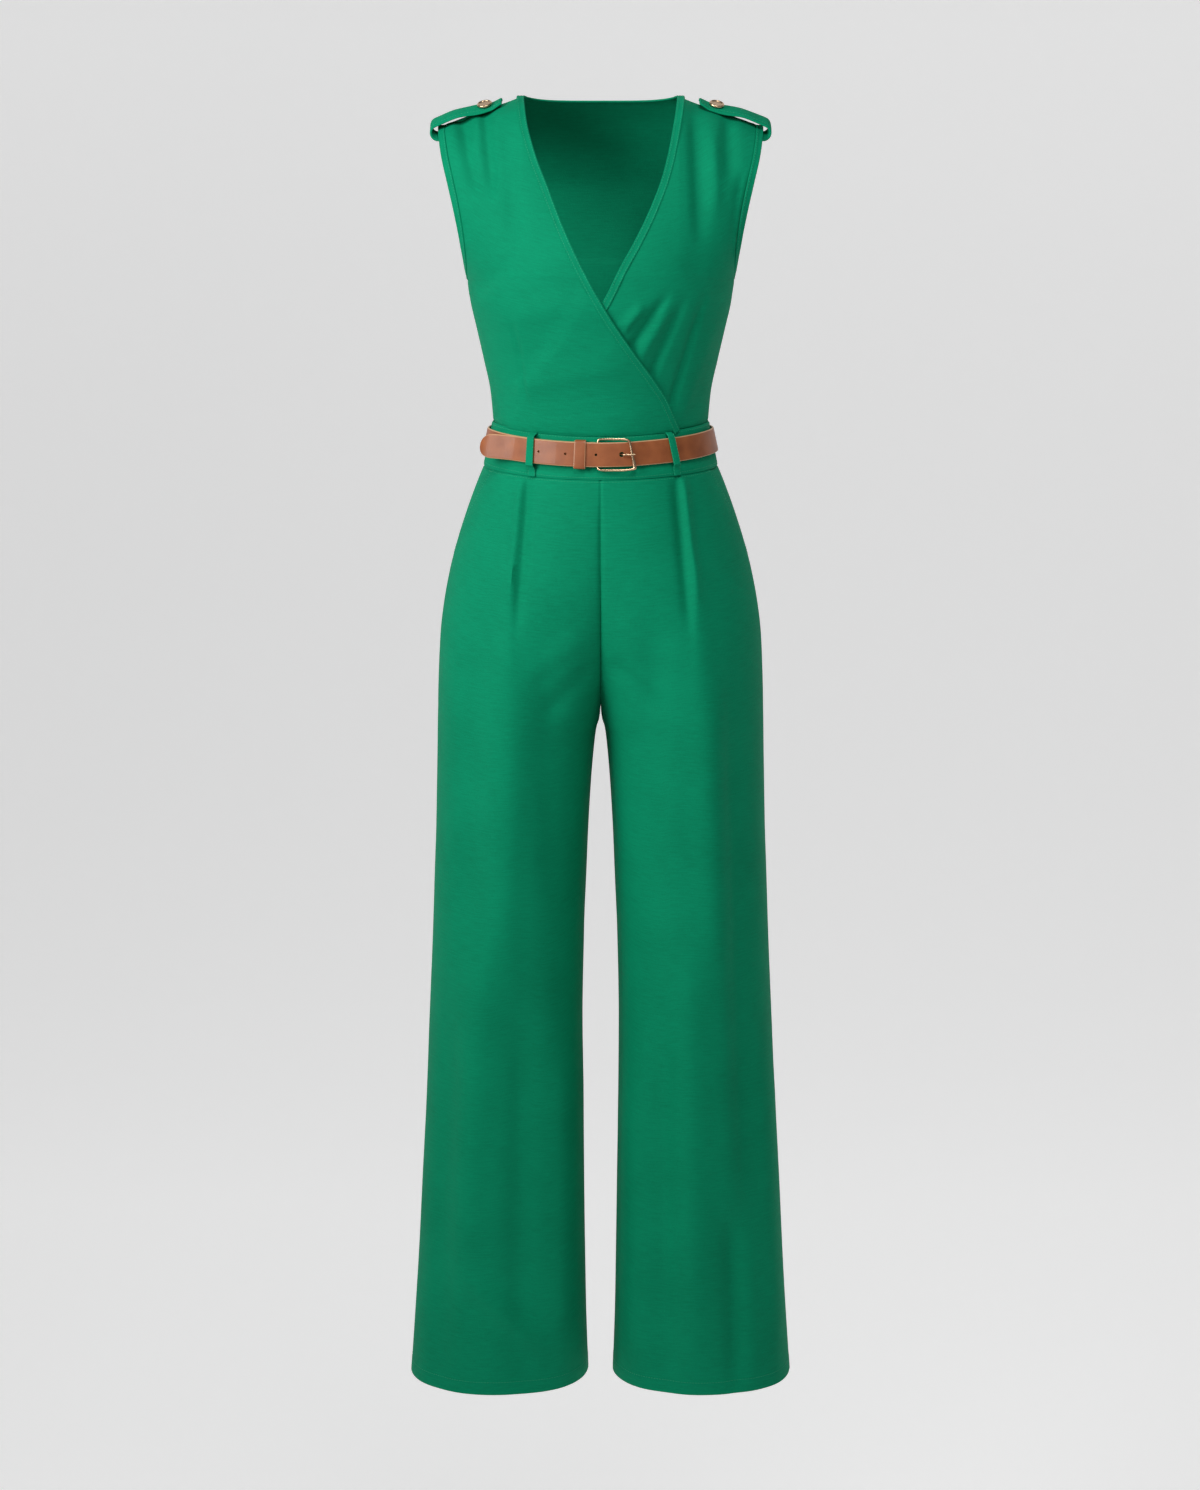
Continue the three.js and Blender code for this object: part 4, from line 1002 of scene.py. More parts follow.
def waist_foot(side, x):
    """Height of the waistband seam."""
    across = np.minimum(1, np.abs(x) / (WAIST_TOP_HALF + WAIST_SPREAD))
    return WAISTBAND_SIDE_Z - (WAISTBAND_DIP * (1 - across**2) if side < 0 else 0)


def seamed_height(side, x, z):
    """The top rows bend with the waistband seam."""
    weight = 1 - smooth((TROUSER_TOP - z) / 60)
    return z + (waist_foot(side, x) - TROUSER_TOP) * weight


def pocket_turn(z):
    """Turn of the slanting pocket edge at a height."""
    return POCKET_TURN * np.clip((z - POCKET_FOOT) / (TROUSER_TOP - POCKET_FOOT), 0, 1)


LEG_FOLDS = {  # from x z, to x z, left width, right width, height
    ("front", "right"): (
        (-84, -386, -98, -530, 7, 2.6, 1.9),
        (-80, -386, -93, -560, 3, 7, -1.6),
        (-98, -470, -103, -630, 16, 12, 1.2),
        (-100, -640, -112, -1000, 26, 18, 2.4),
        (-62, -560, -44, -900, 22, 26, -2.6),
        (-142, -560, -150, -900, 20, 24, -2.4),
        (-128, -900, -160, -1300, 24, 20, 2.6),
        (-86, -1000, -92, -1451, 20, 24, -3.4),
        (-172, -1000, -190, -1451, 14, 18, -2.8),
        (-40, -1050, -44, -1440, 14, 18, 2.2),
        (-150, -1310, -70, -1400, 12, 14, 2.2),
        (-12, -600, -60, -655, 12, 9, -1.2),
        (-20, -560, -88, -610, 14, 12, 0.7),
    ),
    ("front", "left"): (
        (88, -386, 104, -530, 2.6, 7, 1.9),
        (83, -386, 99, -560, 7, 3, -1.8),
        (104, -470, 110, -630, 12, 16, 1.2),
        (116, -620, 128, -980, 20, 26, 2.4),
        (60, -540, 48, -860, 22, 22, -2.4),
        (146, -620, 172, -1240, 16, 26, -4.2),
        (96, -880, 112, -1440, 24, 22, 3.0),
        (70, -1000, 74, -1451, 16, 16, -2.8),
        (190, -1050, 206, -1451, 12, 12, 2.0),
        (38, -1080, 40, -1440, 14, 14, 2.0),
        (150, -1240, 158, -1451, 12, 14, -3.0),
        (14, -590, 66, -650, 9, 12, -1.3),
        (22, -540, 92, -596, 12, 14, 0.7),
    ),
    ("back", "right"): (
        (-64, -384, -70, -460, 4, 4, -2.2),
        (-92, -560, -104, -980, 22, 26, 2.4),
        (-52, -640, -48, -1000, 20, 22, -2.6),
        (-146, -700, -160, -1200, 20, 22, -3.0),
        (-110, -980, -118, -1440, 22, 20, 2.8),
        (-76, -1040, -76, -1451, 16, 18, -3.0),
        (-190, -1050, -200, -1451, 12, 14, -2.0),
        (-16, -600, -72, -676, 12, 10, -1.4),
        (-24, -570, -110, -640, 12, 12, 0.8),
    ),
    ("back", "left"): (
        (64, -384, 70, -460, 4, 4, -2.2),
        (96, -580, 110, -1010, 24, 22, 2.4),
        (54, -640, 50, -960, 22, 20, -2.4),
        (148, -680, 166, -1240, 22, 20, -3.2),
        (114, -1000, 122, -1440, 20, 22, 2.6),
        (80, -1020, 82, -1451, 18, 16, -2.8),
        (192, -1080, 202, -1451, 12, 12, -1.8),
        (18, -604, 76, -672, 12, 10, -1.3),
        (26, -560, 104, -630, 12, 12, 0.8),
    ),
}
CENTRE_SHARE = {"front": 1.6, "back": 1.2}  # depth of the pulled centre seam
LEG_ROWS = 190
LEG_COLUMNS = {"front": 118, "back": 72}
LEG_FOLD_SHARE = 2.3
CROTCH_Z = -668.0
CENTRE_SEAM_Z = -658.0
CENTRE_SEAM_REACH = 3.2
TOP_STITCH = 2.4
HEM_STITCH = 15.2
HEM_TURN = 16.5
HEM_LIFT = 0.25
HEM_STEP = 1.2
JOINED_BLEND = 14
WAIST_SEAM = (1.0, 1.8)  # depth and reach
LEG_CALM = 16
LEG_CALM_LEAST = 0.15
LEG_SLACK = (1.2, 38)  # height and length of the soft unevenness
PULL_BLEND = (60, 110)  # below the waistband, above the crotch
POCKET_STITCHES = (2.2, 5.4)
for side, face in ((-1, "front"), (1, "back")):
    for sign, word in ((-1, "right"), (1, "left")):
        z = TROUSER_TOP + (HEM_Z - TROUSER_TOP) * eased(LEG_ROWS)[:, None]
        share = eased(LEG_COLUMNS[face])[None, :]
        start = pocket_turn(z) if side < 0 else 0 * z
        turn = start + (leg_end(z) - start) * share
        z = z + 0 * turn
        points = leg_point(side, turn, z)
        normals = leg_normal(side, turn, z)
        points[..., 2] = seamed_height(side, points[..., 0], z)
        points[..., 0] *= sign
        normals[..., 0] *= sign
        u, v = run_lengths(points)
        back_u = u[:, -1:] - u
        joined = smooth((z - CROTCH_Z) / JOINED_BLEND)
        normals[..., 0] *= 1 - joined * np.exp(-((back_u / JOINED_BLEND) ** 2))
        normals = unit(normals)
        points[..., 0] = np.where((back_u == 0) & (z > CENTRE_SEAM_Z), 0, points[..., 0])
        calm = np.maximum(smooth(u / LEG_CALM) * smooth(back_u / LEG_CALM), LEG_CALM_LEAST)
        calm = calm * smooth((v + 3) / 12)
        lift = LEG_FOLD_SHARE * fold_lift(points, LEG_FOLDS[face, word])
        lift += slack(points, *LEG_SLACK, 7 + side + 2 * sign)
        lift *= calm
        pulled = smooth((TROUSER_TOP - 8 - z) / PULL_BLEND[0])
        pulled = pulled * smooth((z - CROTCH_Z) / PULL_BLEND[1])
        lift += seam_valley(back_u, CENTRE_SHARE[face], CENTRE_SEAM_REACH) * pulled
        lift += seam_valley(back_u) + seam_valley(v, *WAIST_SEAM)
        lift += seam_valley(u) * np.where(start > 0, 0, 1)
        lift += HEM_LIFT * smooth((HEM_TURN - (v[-1:] - v)) / HEM_STEP)
        outer = points + normals * (lift - SUNK)[..., None]
        outer[..., 0] = np.where(outer[..., 0] * sign < 0, 0, outer[..., 0])
        inner = outer - normals * CLOTH
        inner[..., 0] = np.where(inner[..., 0] * sign < 0, 0, inner[..., 0])
        name = "trouser_" + face + "_" + word
        piece = mesh_piece(name + "_cloth", outer, inner)
        sharpen(piece.data)
        dress(piece, name, CREPE)
        rows = [
            line_where(outer, normals, v, TOP_STITCH),
            line_where(outer, normals, v - v[-1:], -HEM_STITCH),
        ]
        if side < 0:
            edge_rows = z[:, 0] > POCKET_FOOT
            turned = [grid[edge_rows].swapaxes(0, 1) for grid in (outer, normals)]
            for inset in POCKET_STITCHES:
                rows.append(line_where(*turned, u[edge_rows].T, inset))
        stitches = sew(name, rows)

# Pocket facings
# The hip panel seen in each slant pocket, cut in crepe and set just behind the front's
# slanting edge, sewn into the side seam and the waistband.
FACING_ROWS = 60
FACING_COLUMNS = 30
FACING_FOOT = POCKET_FOOT - 6
FACING_BEHIND = 0.05
FACING_SUNK = (0.4, 1.0)  # at the side seam, and how much more under the slanting edge
for sign, word in ((-1, "right"), (1, "left")):
    z = TROUSER_TOP + (FACING_FOOT - TROUSER_TOP) * eased(FACING_ROWS)[:, None]
    share = np.linspace(0, 1, FACING_COLUMNS)[None, :]
    turn = (pocket_turn(z) + FACING_BEHIND) * share
    z = z + 0 * turn
    points = leg_point(-1, turn, z)
    normals = leg_normal(-1, turn, z)
    points[..., 2] = seamed_height(-1, points[..., 0], z)
    points[..., 0] *= sign
    normals[..., 0] *= sign
    u, v = run_lengths(points)
    sunk = -FACING_SUNK[0] - FACING_SUNK[1] * smooth(share * 1.3)
    lift = sunk + seam_valley(u) + seam_valley(v, *WAIST_SEAM)
    outer = points + normals * lift[..., None]
    node = "pocket_facing_" + word
    piece = mesh_piece(node + "_cloth", outer, outer - normals * CLOTH)
    sharpen(piece.data)
    dress(piece, node, CREPE)

# Belt loops
# Four narrow crepe carriers, folded double and caught at the top and the foot of the
# waistband, two in front and two behind. The belt runs through them.
BELT_RISE = 48.0
BELT_CENTRE_Z = -354.5
FRONT_HALF = 125.1


def belt_place(turn, up, away):
    """Point at a distance out from the waistband, up from the belt's centre line."""
    side = np.where(np.cos(turn) >= 0, -1, 1)
    across = np.sin(turn)
    down = 0.4 - up / BELT_RISE
    half = WAIST_TOP_HALF + WAIST_SPREAD * down
    front = WAIST_TOP_DEPTH[-1] + WAIST_DEPTH_SPREAD[-1] * down
    back = WAIST_TOP_DEPTH[1] + WAIST_DEPTH_SPREAD[1] * down
    depth = np.where(side < 0, front, back)
    dip = np.where(side < 0, WAIST_DIP * (1 - across**2), 0)
    base = np.stack([half * across, -depth * np.cos(turn), BELT_CENTRE_Z - dip + up], -1)
    return base + waist_normal(-1, turn) * away[..., None]


def belt_turn(x):
    """Turn round the waist of a place on the front, by its distance across."""
    return math.asin(x / FRONT_HALF)


LOOP_ROWS = 60
LOOP_ACROSS = (-1, -0.97, -0.88, -0.6, -0.3, 0, 0.3, 0.6, 0.88, 0.97, 1.0)
LOOP_WIDE = 9.0
LOOP_THICK = 1.6
LOOP_FOOT = 0.4
LOOP_STITCH_PLACE = 0.68  # share of the half width
LOOP_STITCH_DEPTH = 0.2
LOOPS = (  # node, turn round the waist, height off the waistband, lean in mm
    ("belt_loop_front_right", belt_turn(-73), 7.5, 4.0),
    ("belt_loop_front_left", belt_turn(78), 4.7, 5.0),
    ("belt_loop_back_right", math.pi - belt_turn(-70), 4.7, 0.0),
    ("belt_loop_back_left", math.pi - belt_turn(70), 4.7, 0.0),
)
LOOP_PROFILE = table(
    "down share",
    (0.0, 0.0), (0.02, 0.08), (0.05, 0.6), (0.09, 1), (0.25, 1.03), (0.55, 1.03), (0.72, 1),
    (0.78, 0.5), (0.88, 0.1), (1.0, 0.0),
)
for node, middle_turn, clear, lean in LOOPS:
    down = np.linspace(0.008, 0.992, LOOP_ROWS)[:, None]
    edge = np.array(LOOP_ACROSS)[None, :]
    turn = middle_turn + (edge * LOOP_WIDE / 2 + lean * (down - 0.5)) / WAIST_RADIUS
    stand = LOOP_FOOT + (clear - LOOP_FOOT) * read(LOOP_PROFILE, "down", "share", down)
    side = -1 if math.cos(middle_turn) > 0 else 1
    around = turn if side < 0 else math.pi - turn
    base = waist_point(side, around, down + 0 * turn)
    normals = waist_normal(side, around)
    rounded = np.sqrt(np.clip(1 - np.abs(edge) ** 8, 0.01, 1))
    stitched = LOOP_STITCH_DEPTH * np.exp(-(((np.abs(edge) - LOOP_STITCH_PLACE) / 0.12) ** 2))
    high = stand + LOOP_THICK * (0.5 + 0.5 * rounded) - stitched
    low = stand + LOOP_THICK * (0.5 - 0.5 * rounded)
    outer = base + normals * high[..., None]
    piece = mesh_piece(node + "_strip", outer, base + normals * low[..., None])
    dress(piece, node, CREPE)
    surface = base + normals * (high[..., None] + 0.05)
    stitches = sew(node, [surface[3:-3, 2], surface[3:-3, -3]])

# Belt strap
# One brown leather strap with pale painted edges and four round punched holes. It runs
# through the loops all the way round, and its pointed tail lies over the buckle end.
BELT_HALF = 13.0
BELT_THICK = 2.2
BASE_LAYER = 1.9
TAIL_LAYER = 4.7
TAIL_END = -1.13 - 2 * math.pi
HINGE_X = -3.0
BAR_X = 31.5
TAIL_FREE = 16.0
PUNCHED = ((-65, 1.5), (-37, 1.5), (-5, 1.5), (22, 2.8))  # place across, radius
BELT_ACROSS = (0, 0.35, 0.7, 0.88, 0.93, 0.965, 0.99, 1.0)
BELT_STEPS = 640
TIP_STEPS = 60
TIP_LENGTH = 16
TIP_TAPER = 15
TIP_ROUND = 15.2
TAIL_FREE_REACH = 56
EDGE_ROUND_FROM = 0.9
PUNCH_REACH = (-1.4, 6.0)  # from the tail's layer
LIFT_FROM_X = 52
LIFT_FULL_X = 24
PUNCH_SIDES = 32


def rod(name, line, radii, looped, sides=20):
    """Round body along a line of points; radii hold its half width and half height."""
    line = np.asarray(line, float)
    out = np.array([0.0, -1.0, 0.02])
    along = tangents(line, looped)
    across = unit(np.cross(along, out))
    up = unit(np.cross(across, along))
    turn = np.linspace(0, 2 * math.pi, sides, endpoint=False)
    radii = np.broadcast_to(np.asarray(radii, float), (len(line), 2))
    ring = across[:, None] * (radii[:, :1] * np.cos(turn))[..., None]
    ring = ring + up[:, None] * (radii[:, 1:] * np.sin(turn))[..., None]
    points = (line[:, None] + ring).reshape(-1, 3)
    index = np.arange(len(points)).reshape(len(line), sides)
    if looped:
        index = np.concatenate([index, index[:1]])
    index = np.concatenate([index, index[:, :1]], 1)
    quads = np.stack([index[:-1, :-1], index[1:, :-1], index[1:, 1:], index[:-1, 1:]], -1)
    faces = quads.reshape(-1, 4).tolist()
    if not looped:
        faces.append(index[0, :-1].tolist())
        faces.append(index[-1, :-1][::-1].tolist())
    mesh = bpy.data.meshes.new(name)
    mesh.from_pydata((points * MM).tolist(), [], faces)
    mesh.shade_smooth()
    sharpen(mesh)
    return add_object(name, mesh)


def on_belt(x, up, layer):
    """Point on the front of the belt; layer is the height off the waistband."""
    turn = np.asarray(belt_turn(x), float)
    return belt_place(turn, np.asarray(up, float), np.asarray(layer, float))


LEATHER_SHADE = (0.235, 0.064, 0.018)
LEATHER_BROWN = (0.34, 0.102, 0.031)
PAINTED_EDGE = (0.55, 0.30, 0.16, 1)
PAINT_FROM = 0.95
PAINT_FULL = 0.7


def leather_material():
    """Brown leather with fine pores and a pale painted line along both edges."""
    material, nodes, links, shader, place = new_material("brown_leather")
    shader.inputs["Roughness"].default_value = 0.48
    shader.inputs["Specular IOR Level"].default_value = 0.4
    shader.inputs["Coat Weight"].default_value = 0.08
    pores = nodes.new("ShaderNodeTexVoronoi")
    pores.inputs["Scale"].default_value = 900
    links.new(place.outputs["Object"], pores.inputs["Vector"])
    bumped(nodes, links, shader, pores.outputs["Distance"], 0.25, 0.0003)
    clouds = noise(nodes, links, place.outputs["Object"], 60, 4)
    tone = colour_ramp(nodes, links, clouds, (0.3, LEATHER_SHADE), (0.75, LEATHER_BROWN))
    split = nodes.new("ShaderNodeSeparateXYZ")
    links.new(place.outputs["UV"], split.inputs["Vector"])
    from_middle = nodes.new("ShaderNodeMath")
    from_middle.operation = "SUBTRACT"
    from_middle.inputs[1].default_value = BELT_HALF * MM
    links.new(split.outputs["Y"], from_middle.inputs[0])
    distance = nodes.new("ShaderNodeMath")
    distance.operation = "ABSOLUTE"
    links.new(from_middle.outputs["Value"], distance.inputs[0])
    painted = nodes.new("ShaderNodeMapRange")
    painted.inputs["From Min"].default_value = (BELT_HALF - PAINT_FROM) * MM
    painted.inputs["From Max"].default_value = (BELT_HALF - PAINT_FULL) * MM
    links.new(distance.outputs["Value"], painted.inputs["Value"])
    mix = nodes.new("ShaderNodeMix")
    mix.data_type = "RGBA"
    links.new(painted.outputs["Result"], mix.inputs["Factor"])
    links.new(tone, mix.inputs["A"])
    mix.inputs["B"].default_value = PAINTED_EDGE
    links.new(mix.outputs["Result"], shader.inputs["Base Color"])
    return material


LEATHER = leather_material()
half_across = np.array(BELT_ACROSS)
level = np.concatenate([-half_across[:0:-1], half_across])[:, None]
start = belt_turn(HINGE_X - 3)
tip_turn = TIP_LENGTH / WAIST_RADIUS
long_steps = np.linspace(start, TAIL_END + tip_turn, BELT_STEPS)[:-1]
tip_steps = TAIL_END + np.linspace(0, tip_turn, TIP_STEPS)[::-1]
turn = np.concatenate([long_steps, tip_steps])[None, :]
lapped_turn = turn + 2 * math.pi
lift_from, lift_full = belt_turn(LIFT_FROM_X), belt_turn(LIFT_FULL_X)
rise = smooth((lapped_turn - lift_from) / (lift_full - lift_from))
tip = (turn - TAIL_END) * WAIST_RADIUS
free = TAIL_FREE * smooth(1 - tip / TAIL_FREE_REACH) ** 2
lapped = (TAIL_LAYER - BASE_LAYER) * rise + free
layer = BASE_LAYER + np.where(lapped_turn < lift_from, lapped, 0)
point = np.sqrt(np.clip(1 - ((TIP_TAPER - tip) / TIP_ROUND) ** 2, 0.02, 1))
taper = np.where(tip < TIP_TAPER, point, 1)
up = -BELT_HALF * taper * level
near_edge = np.clip((np.abs(level) - EDGE_ROUND_FROM) / 0.1, 0, 1)
edge_round = np.sqrt(np.clip(1 - near_edge**2, 0.04, 1))
middle_layer = layer + BELT_THICK / 2
half_thick = BELT_THICK / 2 * edge_round + 0 * turn
outer = belt_place(turn + 0 * level, up, middle_layer + half_thick)
inner = belt_place(turn + 0 * level, up, middle_layer - half_thick)
along = (start - turn) * WAIST_RADIUS + 0 * level
from_edge = (1 + level) * BELT_HALF + 0 * turn
belt_strap = mesh_piece("belt_strap_leather", outer, inner, runs=(along, from_edge))
for x, radius in PUNCHED:
    axis = [on_belt(x, 0, TAIL_LAYER + reach) for reach in PUNCH_REACH]
    tool = rod("punch", axis, (radius, radius), False, PUNCH_SIDES)
    cut = belt_strap.modifiers.new("hole", "BOOLEAN")
    cut.operation = "DIFFERENCE"
    cut.solver = "EXACT"
    cut.object = tool
    bpy.context.view_layer.update()
    evaluated = belt_strap.evaluated_get(bpy.context.evaluated_depsgraph_get())
    punched = bpy.data.meshes.new_from_object(evaluated)
    belt_strap.modifiers.remove(cut)
    belt_strap.data = punched
    bpy.data.objects.remove(tool)
sharpen(belt_strap.data)
dress(belt_strap, "belt_strap", LEATHER)

# Belt keeper
# A fixed loop of the same leather behind the buckle that holds the tail down.
# It is folded from one strip and sewn shut against the lining side.
KEEPER_X = (-27.5, -16.0)
KEEPER_ROWS = 14
KEEPER_SHAPE = (  # height on the belt, layer
    (-15.3, 1.6), (-15.3, 4.5), (-15.3, 7.6), (-6, 8.0), (6, 8.0),
    (15.3, 7.6), (15.3, 4.5), (15.3, 1.6), (6, 1.5), (-6, 1.5),
)
KEEPER_RAISED = 1.2
KEEPER_SUNK = 1.15
KEEPER_OVER = 7  # corners above this layer lie over the tail
KEEPER_UNDER = 2  # corners below this layer lie under the strap
KEEPER_INNER = 0.92
CORNER_PASSES = 3
KEEPER_EDGE_PULL = 0.25
ring_out = []
ring_in = []
for up, layer in KEEPER_SHAPE:
    raised = KEEPER_RAISED if layer > KEEPER_OVER else 0
    sunk = KEEPER_SUNK if layer < KEEPER_UNDER else 0
    ring_out.append((up, layer + raised - sunk))
    ring_in.append((up * KEEPER_INNER, layer))
rings = []
for ring in (np.array(ring_out), np.array(ring_in)):
    for _ in range(CORNER_PASSES):
        after = np.roll(ring, -1, 0)
        ring = np.stack([ring * 0.75 + after * 0.25, ring * 0.25 + after * 0.75], 1).reshape(-1, 2)
    rings.append(ring)
keeper_wide = KEEPER_X[1] - KEEPER_X[0]
keeper_x = KEEPER_X[0] + keeper_wide * eased(KEEPER_ROWS)
edge_share = np.abs(np.linspace(-1, 1, KEEPER_ROWS)) ** 6 * KEEPER_EDGE_PULL
walls = []
for own, other in ((rings[0], rings[1]), (rings[1], rings[0])):
    grid = []
    for x, pull in zip(keeper_x, edge_share):
        ring = own * (1 - pull) + other * pull
        grid.append([on_belt(x, up, layer) for up, layer in ring])
    walls.append(np.array(grid))
from_edge = (keeper_x - KEEPER_X[0])[:, None] * 2 * BELT_HALF / keeper_wide
from_edge = np.broadcast_to(from_edge, walls[0].shape[:2])
belt_keeper = mesh_piece("belt_keeper_leather", *walls, True, (0 * from_edge, from_edge))
sharpen(belt_keeper.data)
dress(belt_keeper, "belt_keeper", LEATHER)

# Buckle
# A cast pale gold frame hinged to the strap's end, with a pin that passes through
# a hole of the tail and rests on the slanting bar.
FRAME_TOP = 15.2
WIRE_RADIUS = 1.25
FRAME_CORNERS = (  # place across, height on the belt, layer
    (HINGE_X, -FRAME_TOP + 3, 3.1), (HINGE_X, -5, 3.1), (HINGE_X, 5, 3.1), (HINGE_X, FRAME_TOP - 3, 3.1),
    (HINGE_X + 1.2, FRAME_TOP + 0.6, 3.6), (4, FRAME_TOP + 1.4, 4.6), (14, FRAME_TOP + 1.4, 6.2),
    (24, FRAME_TOP + 1.2, 7.8), (BAR_X - 2, FRAME_TOP - 0.4, 8.2), (BAR_X - 0.5, FRAME_TOP - 4, 8.2),
    (BAR_X + 1, 0, 8.2), (BAR_X + 2.7, -FRAME_TOP + 4, 8.2), (BAR_X + 2, -FRAME_TOP - 0.2, 8.2),
    (24, -FRAME_TOP - 1.4, 7.8), (14, -FRAME_TOP - 1.4, 6.2), (4, -FRAME_TOP - 1.4, 4.6),
    (HINGE_X + 1.2, -FRAME_TOP - 0.6, 3.6),
)
BAR_BROAD = (0.9, -0.1)  # how much wider and higher the frame is at the bar
BAR_BROAD_FROM = 31
PRONG_HINGE = (1.0, 0.9)  # half width and half height
PRONG_THINNER = (0.25, 0.2)
PRONG_LINE = (  # place across, layer
    (0.4, 2.9), (9, 2.9), (16, 2.9), (19.5, 3.4), (21.6, 5.2), (23.2, 8.2), (25.4, 10),
    (29, 10.6), (35, 11),
)


def curved(points, steps, looped):
    """Smooth line through a few points."""
    points = np.asarray(points, float)
    count = len(points)
    spans = count if looped else count - 1
    line = []
    for i in range(spans):
        pick = [(i + k) % count if looped else min(max(i + k, 0), count - 1) for k in (-1, 0, 1, 2)]
        a, b, c, d = points[pick]
        square = 2 * a - 5 * b + 4 * c - d
        cube = 3 * b - a - 3 * c + d
        for t in np.linspace(0, 1, steps, endpoint=False):
            line.append((2 * b + (c - a) * t + square * t**2 + cube * t**3) / 2)
    if not looped:
        line.append(points[-1])
    return np.array(line)


def metal_material():
    """Polished pale gold with faint brushing and a softened shine."""
    material, nodes, links, shader, place = new_material("pale_gold")
    shader.inputs["Base Color"].default_value = (0.66, 0.46, 0.29, 1)
    shader.inputs["Metallic"].default_value = 1.0
    wear = nodes.new("ShaderNodeMapRange")
    wear.inputs["To Min"].default_value = 0.2
    wear.inputs["To Max"].default_value = 0.34
    brushing = noise(nodes, links, place.outputs["Object"], 350, 2)
    links.new(brushing, wear.inputs["Value"])
    links.new(wear.outputs["Result"], shader.inputs["Roughness"])
    return material


METAL = metal_material()
frame_line = curved([on_belt(*corner) for corner in FRAME_CORNERS], 10, True)
frame_x = curved([(corner[0], 0, 0) for corner in FRAME_CORNERS], 10, True)[:, 0]
broad = smooth((frame_x - BAR_BROAD_FROM) / 5)
frame_radii = np.stack([WIRE_RADIUS + share * broad for share in BAR_BROAD], -1)
buckle_frame = rod("buckle_frame_metal", frame_line, frame_radii, True, 24)
dress(buckle_frame, "buckle_frame", METAL)
prong_line = curved([on_belt(x, 0, layer) for x, layer in PRONG_LINE], 8, False)
prong_share = np.linspace(0, 1, len(prong_line))
prong_radii = np.array(PRONG_HINGE) - np.array(PRONG_THINNER) * prong_share[:, None]
buckle_prong = rod("buckle_prong_metal", prong_line, prong_radii, False, 20)
dress(buckle_prong, "buckle_prong", METAL)

# Epaulettes
# A double strip of crepe on each shoulder, edge-stitched all round. It is buttoned near
# the neck, arches off the shoulder and curls down over the armhole, where it is sewn in.
STRAP_INNER = 107.0
STRAP_HELD = 180.0
STRAP_TIP = 199.5
STRAP_CENTRE = -3.0
STRAP_HALF = 15.5
STRAP_THICK = 2.4
STRAP_CLEAR = 1.0
STRAP_BOW = 8.5
STRAP_UPTURN = 3.0
CURL_RADIUS = 6.5
CURL_LIMIT = 3.0
KNOWN_X = 169.0
STRAP_ROWS = 110
STRAP_COLUMNS = 40
STITCH_INSET = 3.2


def shoulder_height(x, y):
    """Height of the shoulder surface above a place seen from the top."""
    side = -1 if y < 0 else 1
    low, high = 0.85, 1.0
    for _ in range(30):
        level = np.array((low + high) / 2)
        turn = math.asin(min(1, x / float(read(BODICE, "level", "half", level))))
        if abs(bodice_point(side, np.array(turn), level)[1]) > abs(y):
            low = float(level)
        else:
            high = float(level)
    turn = math.asin(min(1, x / SHOULDER_HALF))
    return bodice_point(side, np.array(turn), np.array(low))[2]


SHOULDER_ANGLE = math.atan(SHOULDER_SLOPE)
HEIGHT_X = np.linspace(STRAP_INNER, KNOWN_X, 16)
HEIGHT_Y = np.linspace(-STRAP_HALF, STRAP_HALF, 15)
HEIGHTS = np.array([[shoulder_height(x, STRAP_CENTRE + y) for x in HEIGHT_X] for y in HEIGHT_Y])


def strap_point(x, across, lift):
    """Point on the wearer's left epaulette."""
    held = min(x, STRAP_HELD)
    known = min(held, KNOWN_X)
    rows = [np.interp(known, HEIGHT_X, row) for row in HEIGHTS]
    ground = np.interp(across, HEIGHT_Y, rows) - SHOULDER_SLOPE * (held - known)
    edge = (across / STRAP_HALF) ** 2
    bow = STRAP_BOW * math.sin(math.pi / 2 * (held - STRAP_INNER) / (STRAP_HELD - STRAP_INNER))
    edge_share = 0.75 * smooth((held - STRAP_INNER - 17) / 34)
    raised = bow * (1 - edge * (1 - edge_share))
    upturn = STRAP_UPTURN * smooth((STRAP_INNER + 12 - x) / 12)
    angle = SHOULDER_ANGLE + min(max(0, x - held) / CURL_RADIUS, CURL_LIMIT)
    curled_out = CURL_RADIUS * (math.sin(angle) - math.sin(SHOULDER_ANGLE))
    curled_down = CURL_RADIUS * (math.cos(SHOULDER_ANGLE) - math.cos(angle))
    return np.array([
        held + curled_out + math.sin(angle) * lift,
        STRAP_CENTRE + across,
        ground + STRAP_CLEAR + raised + upturn - curled_down + math.cos(angle) * lift,
    ])


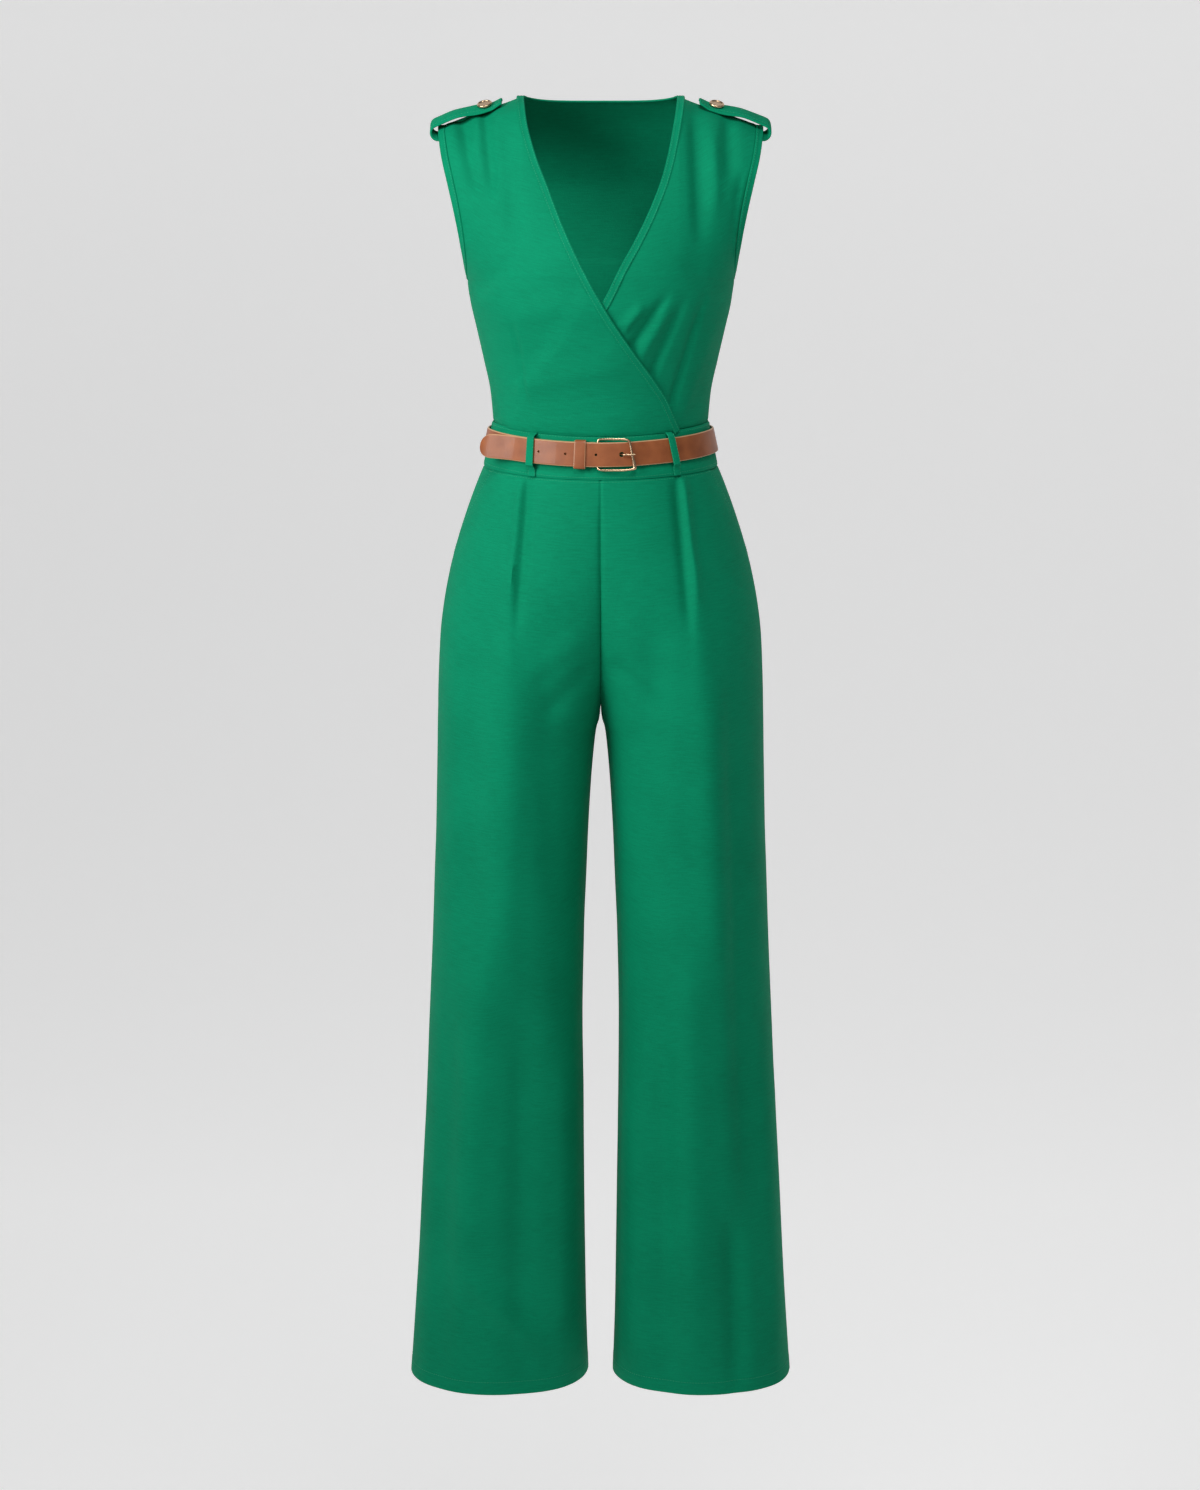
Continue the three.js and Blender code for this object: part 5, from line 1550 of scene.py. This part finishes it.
strap_run = STRAP_INNER + (STRAP_TIP - STRAP_INNER) * eased(STRAP_ROWS)
strap_across = (eased(STRAP_COLUMNS) * 2 - 1) * STRAP_HALF
for sign, word in ((-1, "right"), (1, "left")):
    outer = np.zeros((STRAP_ROWS, STRAP_COLUMNS, 3))
    inner = np.zeros((STRAP_ROWS, STRAP_COLUMNS, 3))
    for r, x in enumerate(strap_run):
        for c, across in enumerate(strap_across):
            rim = min(x - STRAP_INNER, STRAP_TIP - x, STRAP_HALF - abs(across))
            puff = math.sqrt(1 - max(0, 1 - rim / 1.1) ** 2)
            pressed = 0.3 * math.exp(-(((rim - STITCH_INSET) / 0.7) ** 2))
            ripple = 0.2 * math.sin(x * 0.21 + across * 0.12 + sign) * min(1, rim / 6)
            middle = STRAP_THICK / 2 + ripple
            half = STRAP_THICK / 2 * max(0.1, puff)
            outer[r, c] = strap_point(x, across, middle + half - pressed)
            inner[r, c] = strap_point(x, across, middle - half)
    outer[..., 0] *= sign
    inner[..., 0] *= sign
    node = "epaulette_" + word
    piece = mesh_piece(node + "_strip", outer, inner)
    dress(piece, node, CREPE)
    aside = STRAP_HALF - STITCH_INSET
    first, last = STRAP_INNER + STITCH_INSET, STRAP_TIP - STITCH_INSET
    corners = np.array([(last, -aside), (first, -aside), (first, aside), (last, aside)])
    row = []
    for start, end in zip(corners[:-1], corners[1:]):
        for t in np.linspace(0, 1, 40):
            row.append(strap_point(*(start + (end - start) * t), STRAP_THICK - 0.2))
    stitches = sew(node, [np.array(row) * (sign, 1, 1)])

# Epaulette buttons
# One round pale gold button on each epaulette, cast with a raised rim and a shallow
# dish, sewn on through a shank.
BUTTON_X = 125.0
BUTTON_ACROSS = -6.0
BUTTON_REACH = 4
BUTTON_SHANK = 0.9
BUTTON_PROFILE = (  # radius, height
    (0.02, 0), (6.6, 0), (8.1, 0.5), (8.3, 1.3), (7.9, 2.3), (7.1, 2.6),
    (6.3, 2.3), (5.6, 1.7), (3, 1.55), (0.02, 1.5),
)
BUTTON_SIDES = 48


def strap_step(along, across):
    """Vector over the strap's surface between two points on either side of the button."""
    beyond = strap_point(BUTTON_X + along, BUTTON_ACROSS + across, STRAP_THICK)
    return beyond - strap_point(BUTTON_X - along, BUTTON_ACROSS - across, STRAP_THICK)


for sign, word in ((-1, "right"), (1, "left")):
    base = strap_point(BUTTON_X, BUTTON_ACROSS, STRAP_THICK + BUTTON_SHANK)
    first = unit(strap_step(BUTTON_REACH, 0))
    up = unit(np.cross(strap_step(BUTTON_REACH, 0), strap_step(0, BUTTON_REACH)))
    second = np.cross(up, first)
    profile = curved([(r, h, 0) for r, h in BUTTON_PROFILE], 6, False)
    spin = np.linspace(0, 2 * math.pi, BUTTON_SIDES, endpoint=False)
    ring = first * np.cos(spin)[:, None] + second * np.sin(spin)[:, None]
    points = base + profile[:, :1, None] * ring[None] + profile[:, 1:2, None] * up
    points[..., 0] *= sign
    index = np.arange(len(profile) * BUTTON_SIDES).reshape(len(profile), BUTTON_SIDES)
    index = np.concatenate([index, index[:, :1]], 1)
    quads = np.stack([index[:-1, :-1], index[:-1, 1:], index[1:, 1:], index[1:, :-1]], -1)
    faces = quads.reshape(-1, 4)[:, ::sign].tolist()
    faces.append(index[0, :-1][::-sign].tolist())
    faces.append(index[-1, :-1][::sign].tolist())
    node = "epaulette_button_" + word
    mesh = bpy.data.meshes.new(node)
    mesh.from_pydata((points.reshape(-1, 3) * MM).tolist(), [], faces)
    mesh.shade_smooth()
    sharpen(mesh)
    piece = add_object(node + "_metal", mesh)
    dress(piece, node, METAL)

boxes = {"cad": cad_box, "visual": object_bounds()}
for key, box in boxes.items():
    boxes[key] = [[float(value) for value in corner] for corner in box]
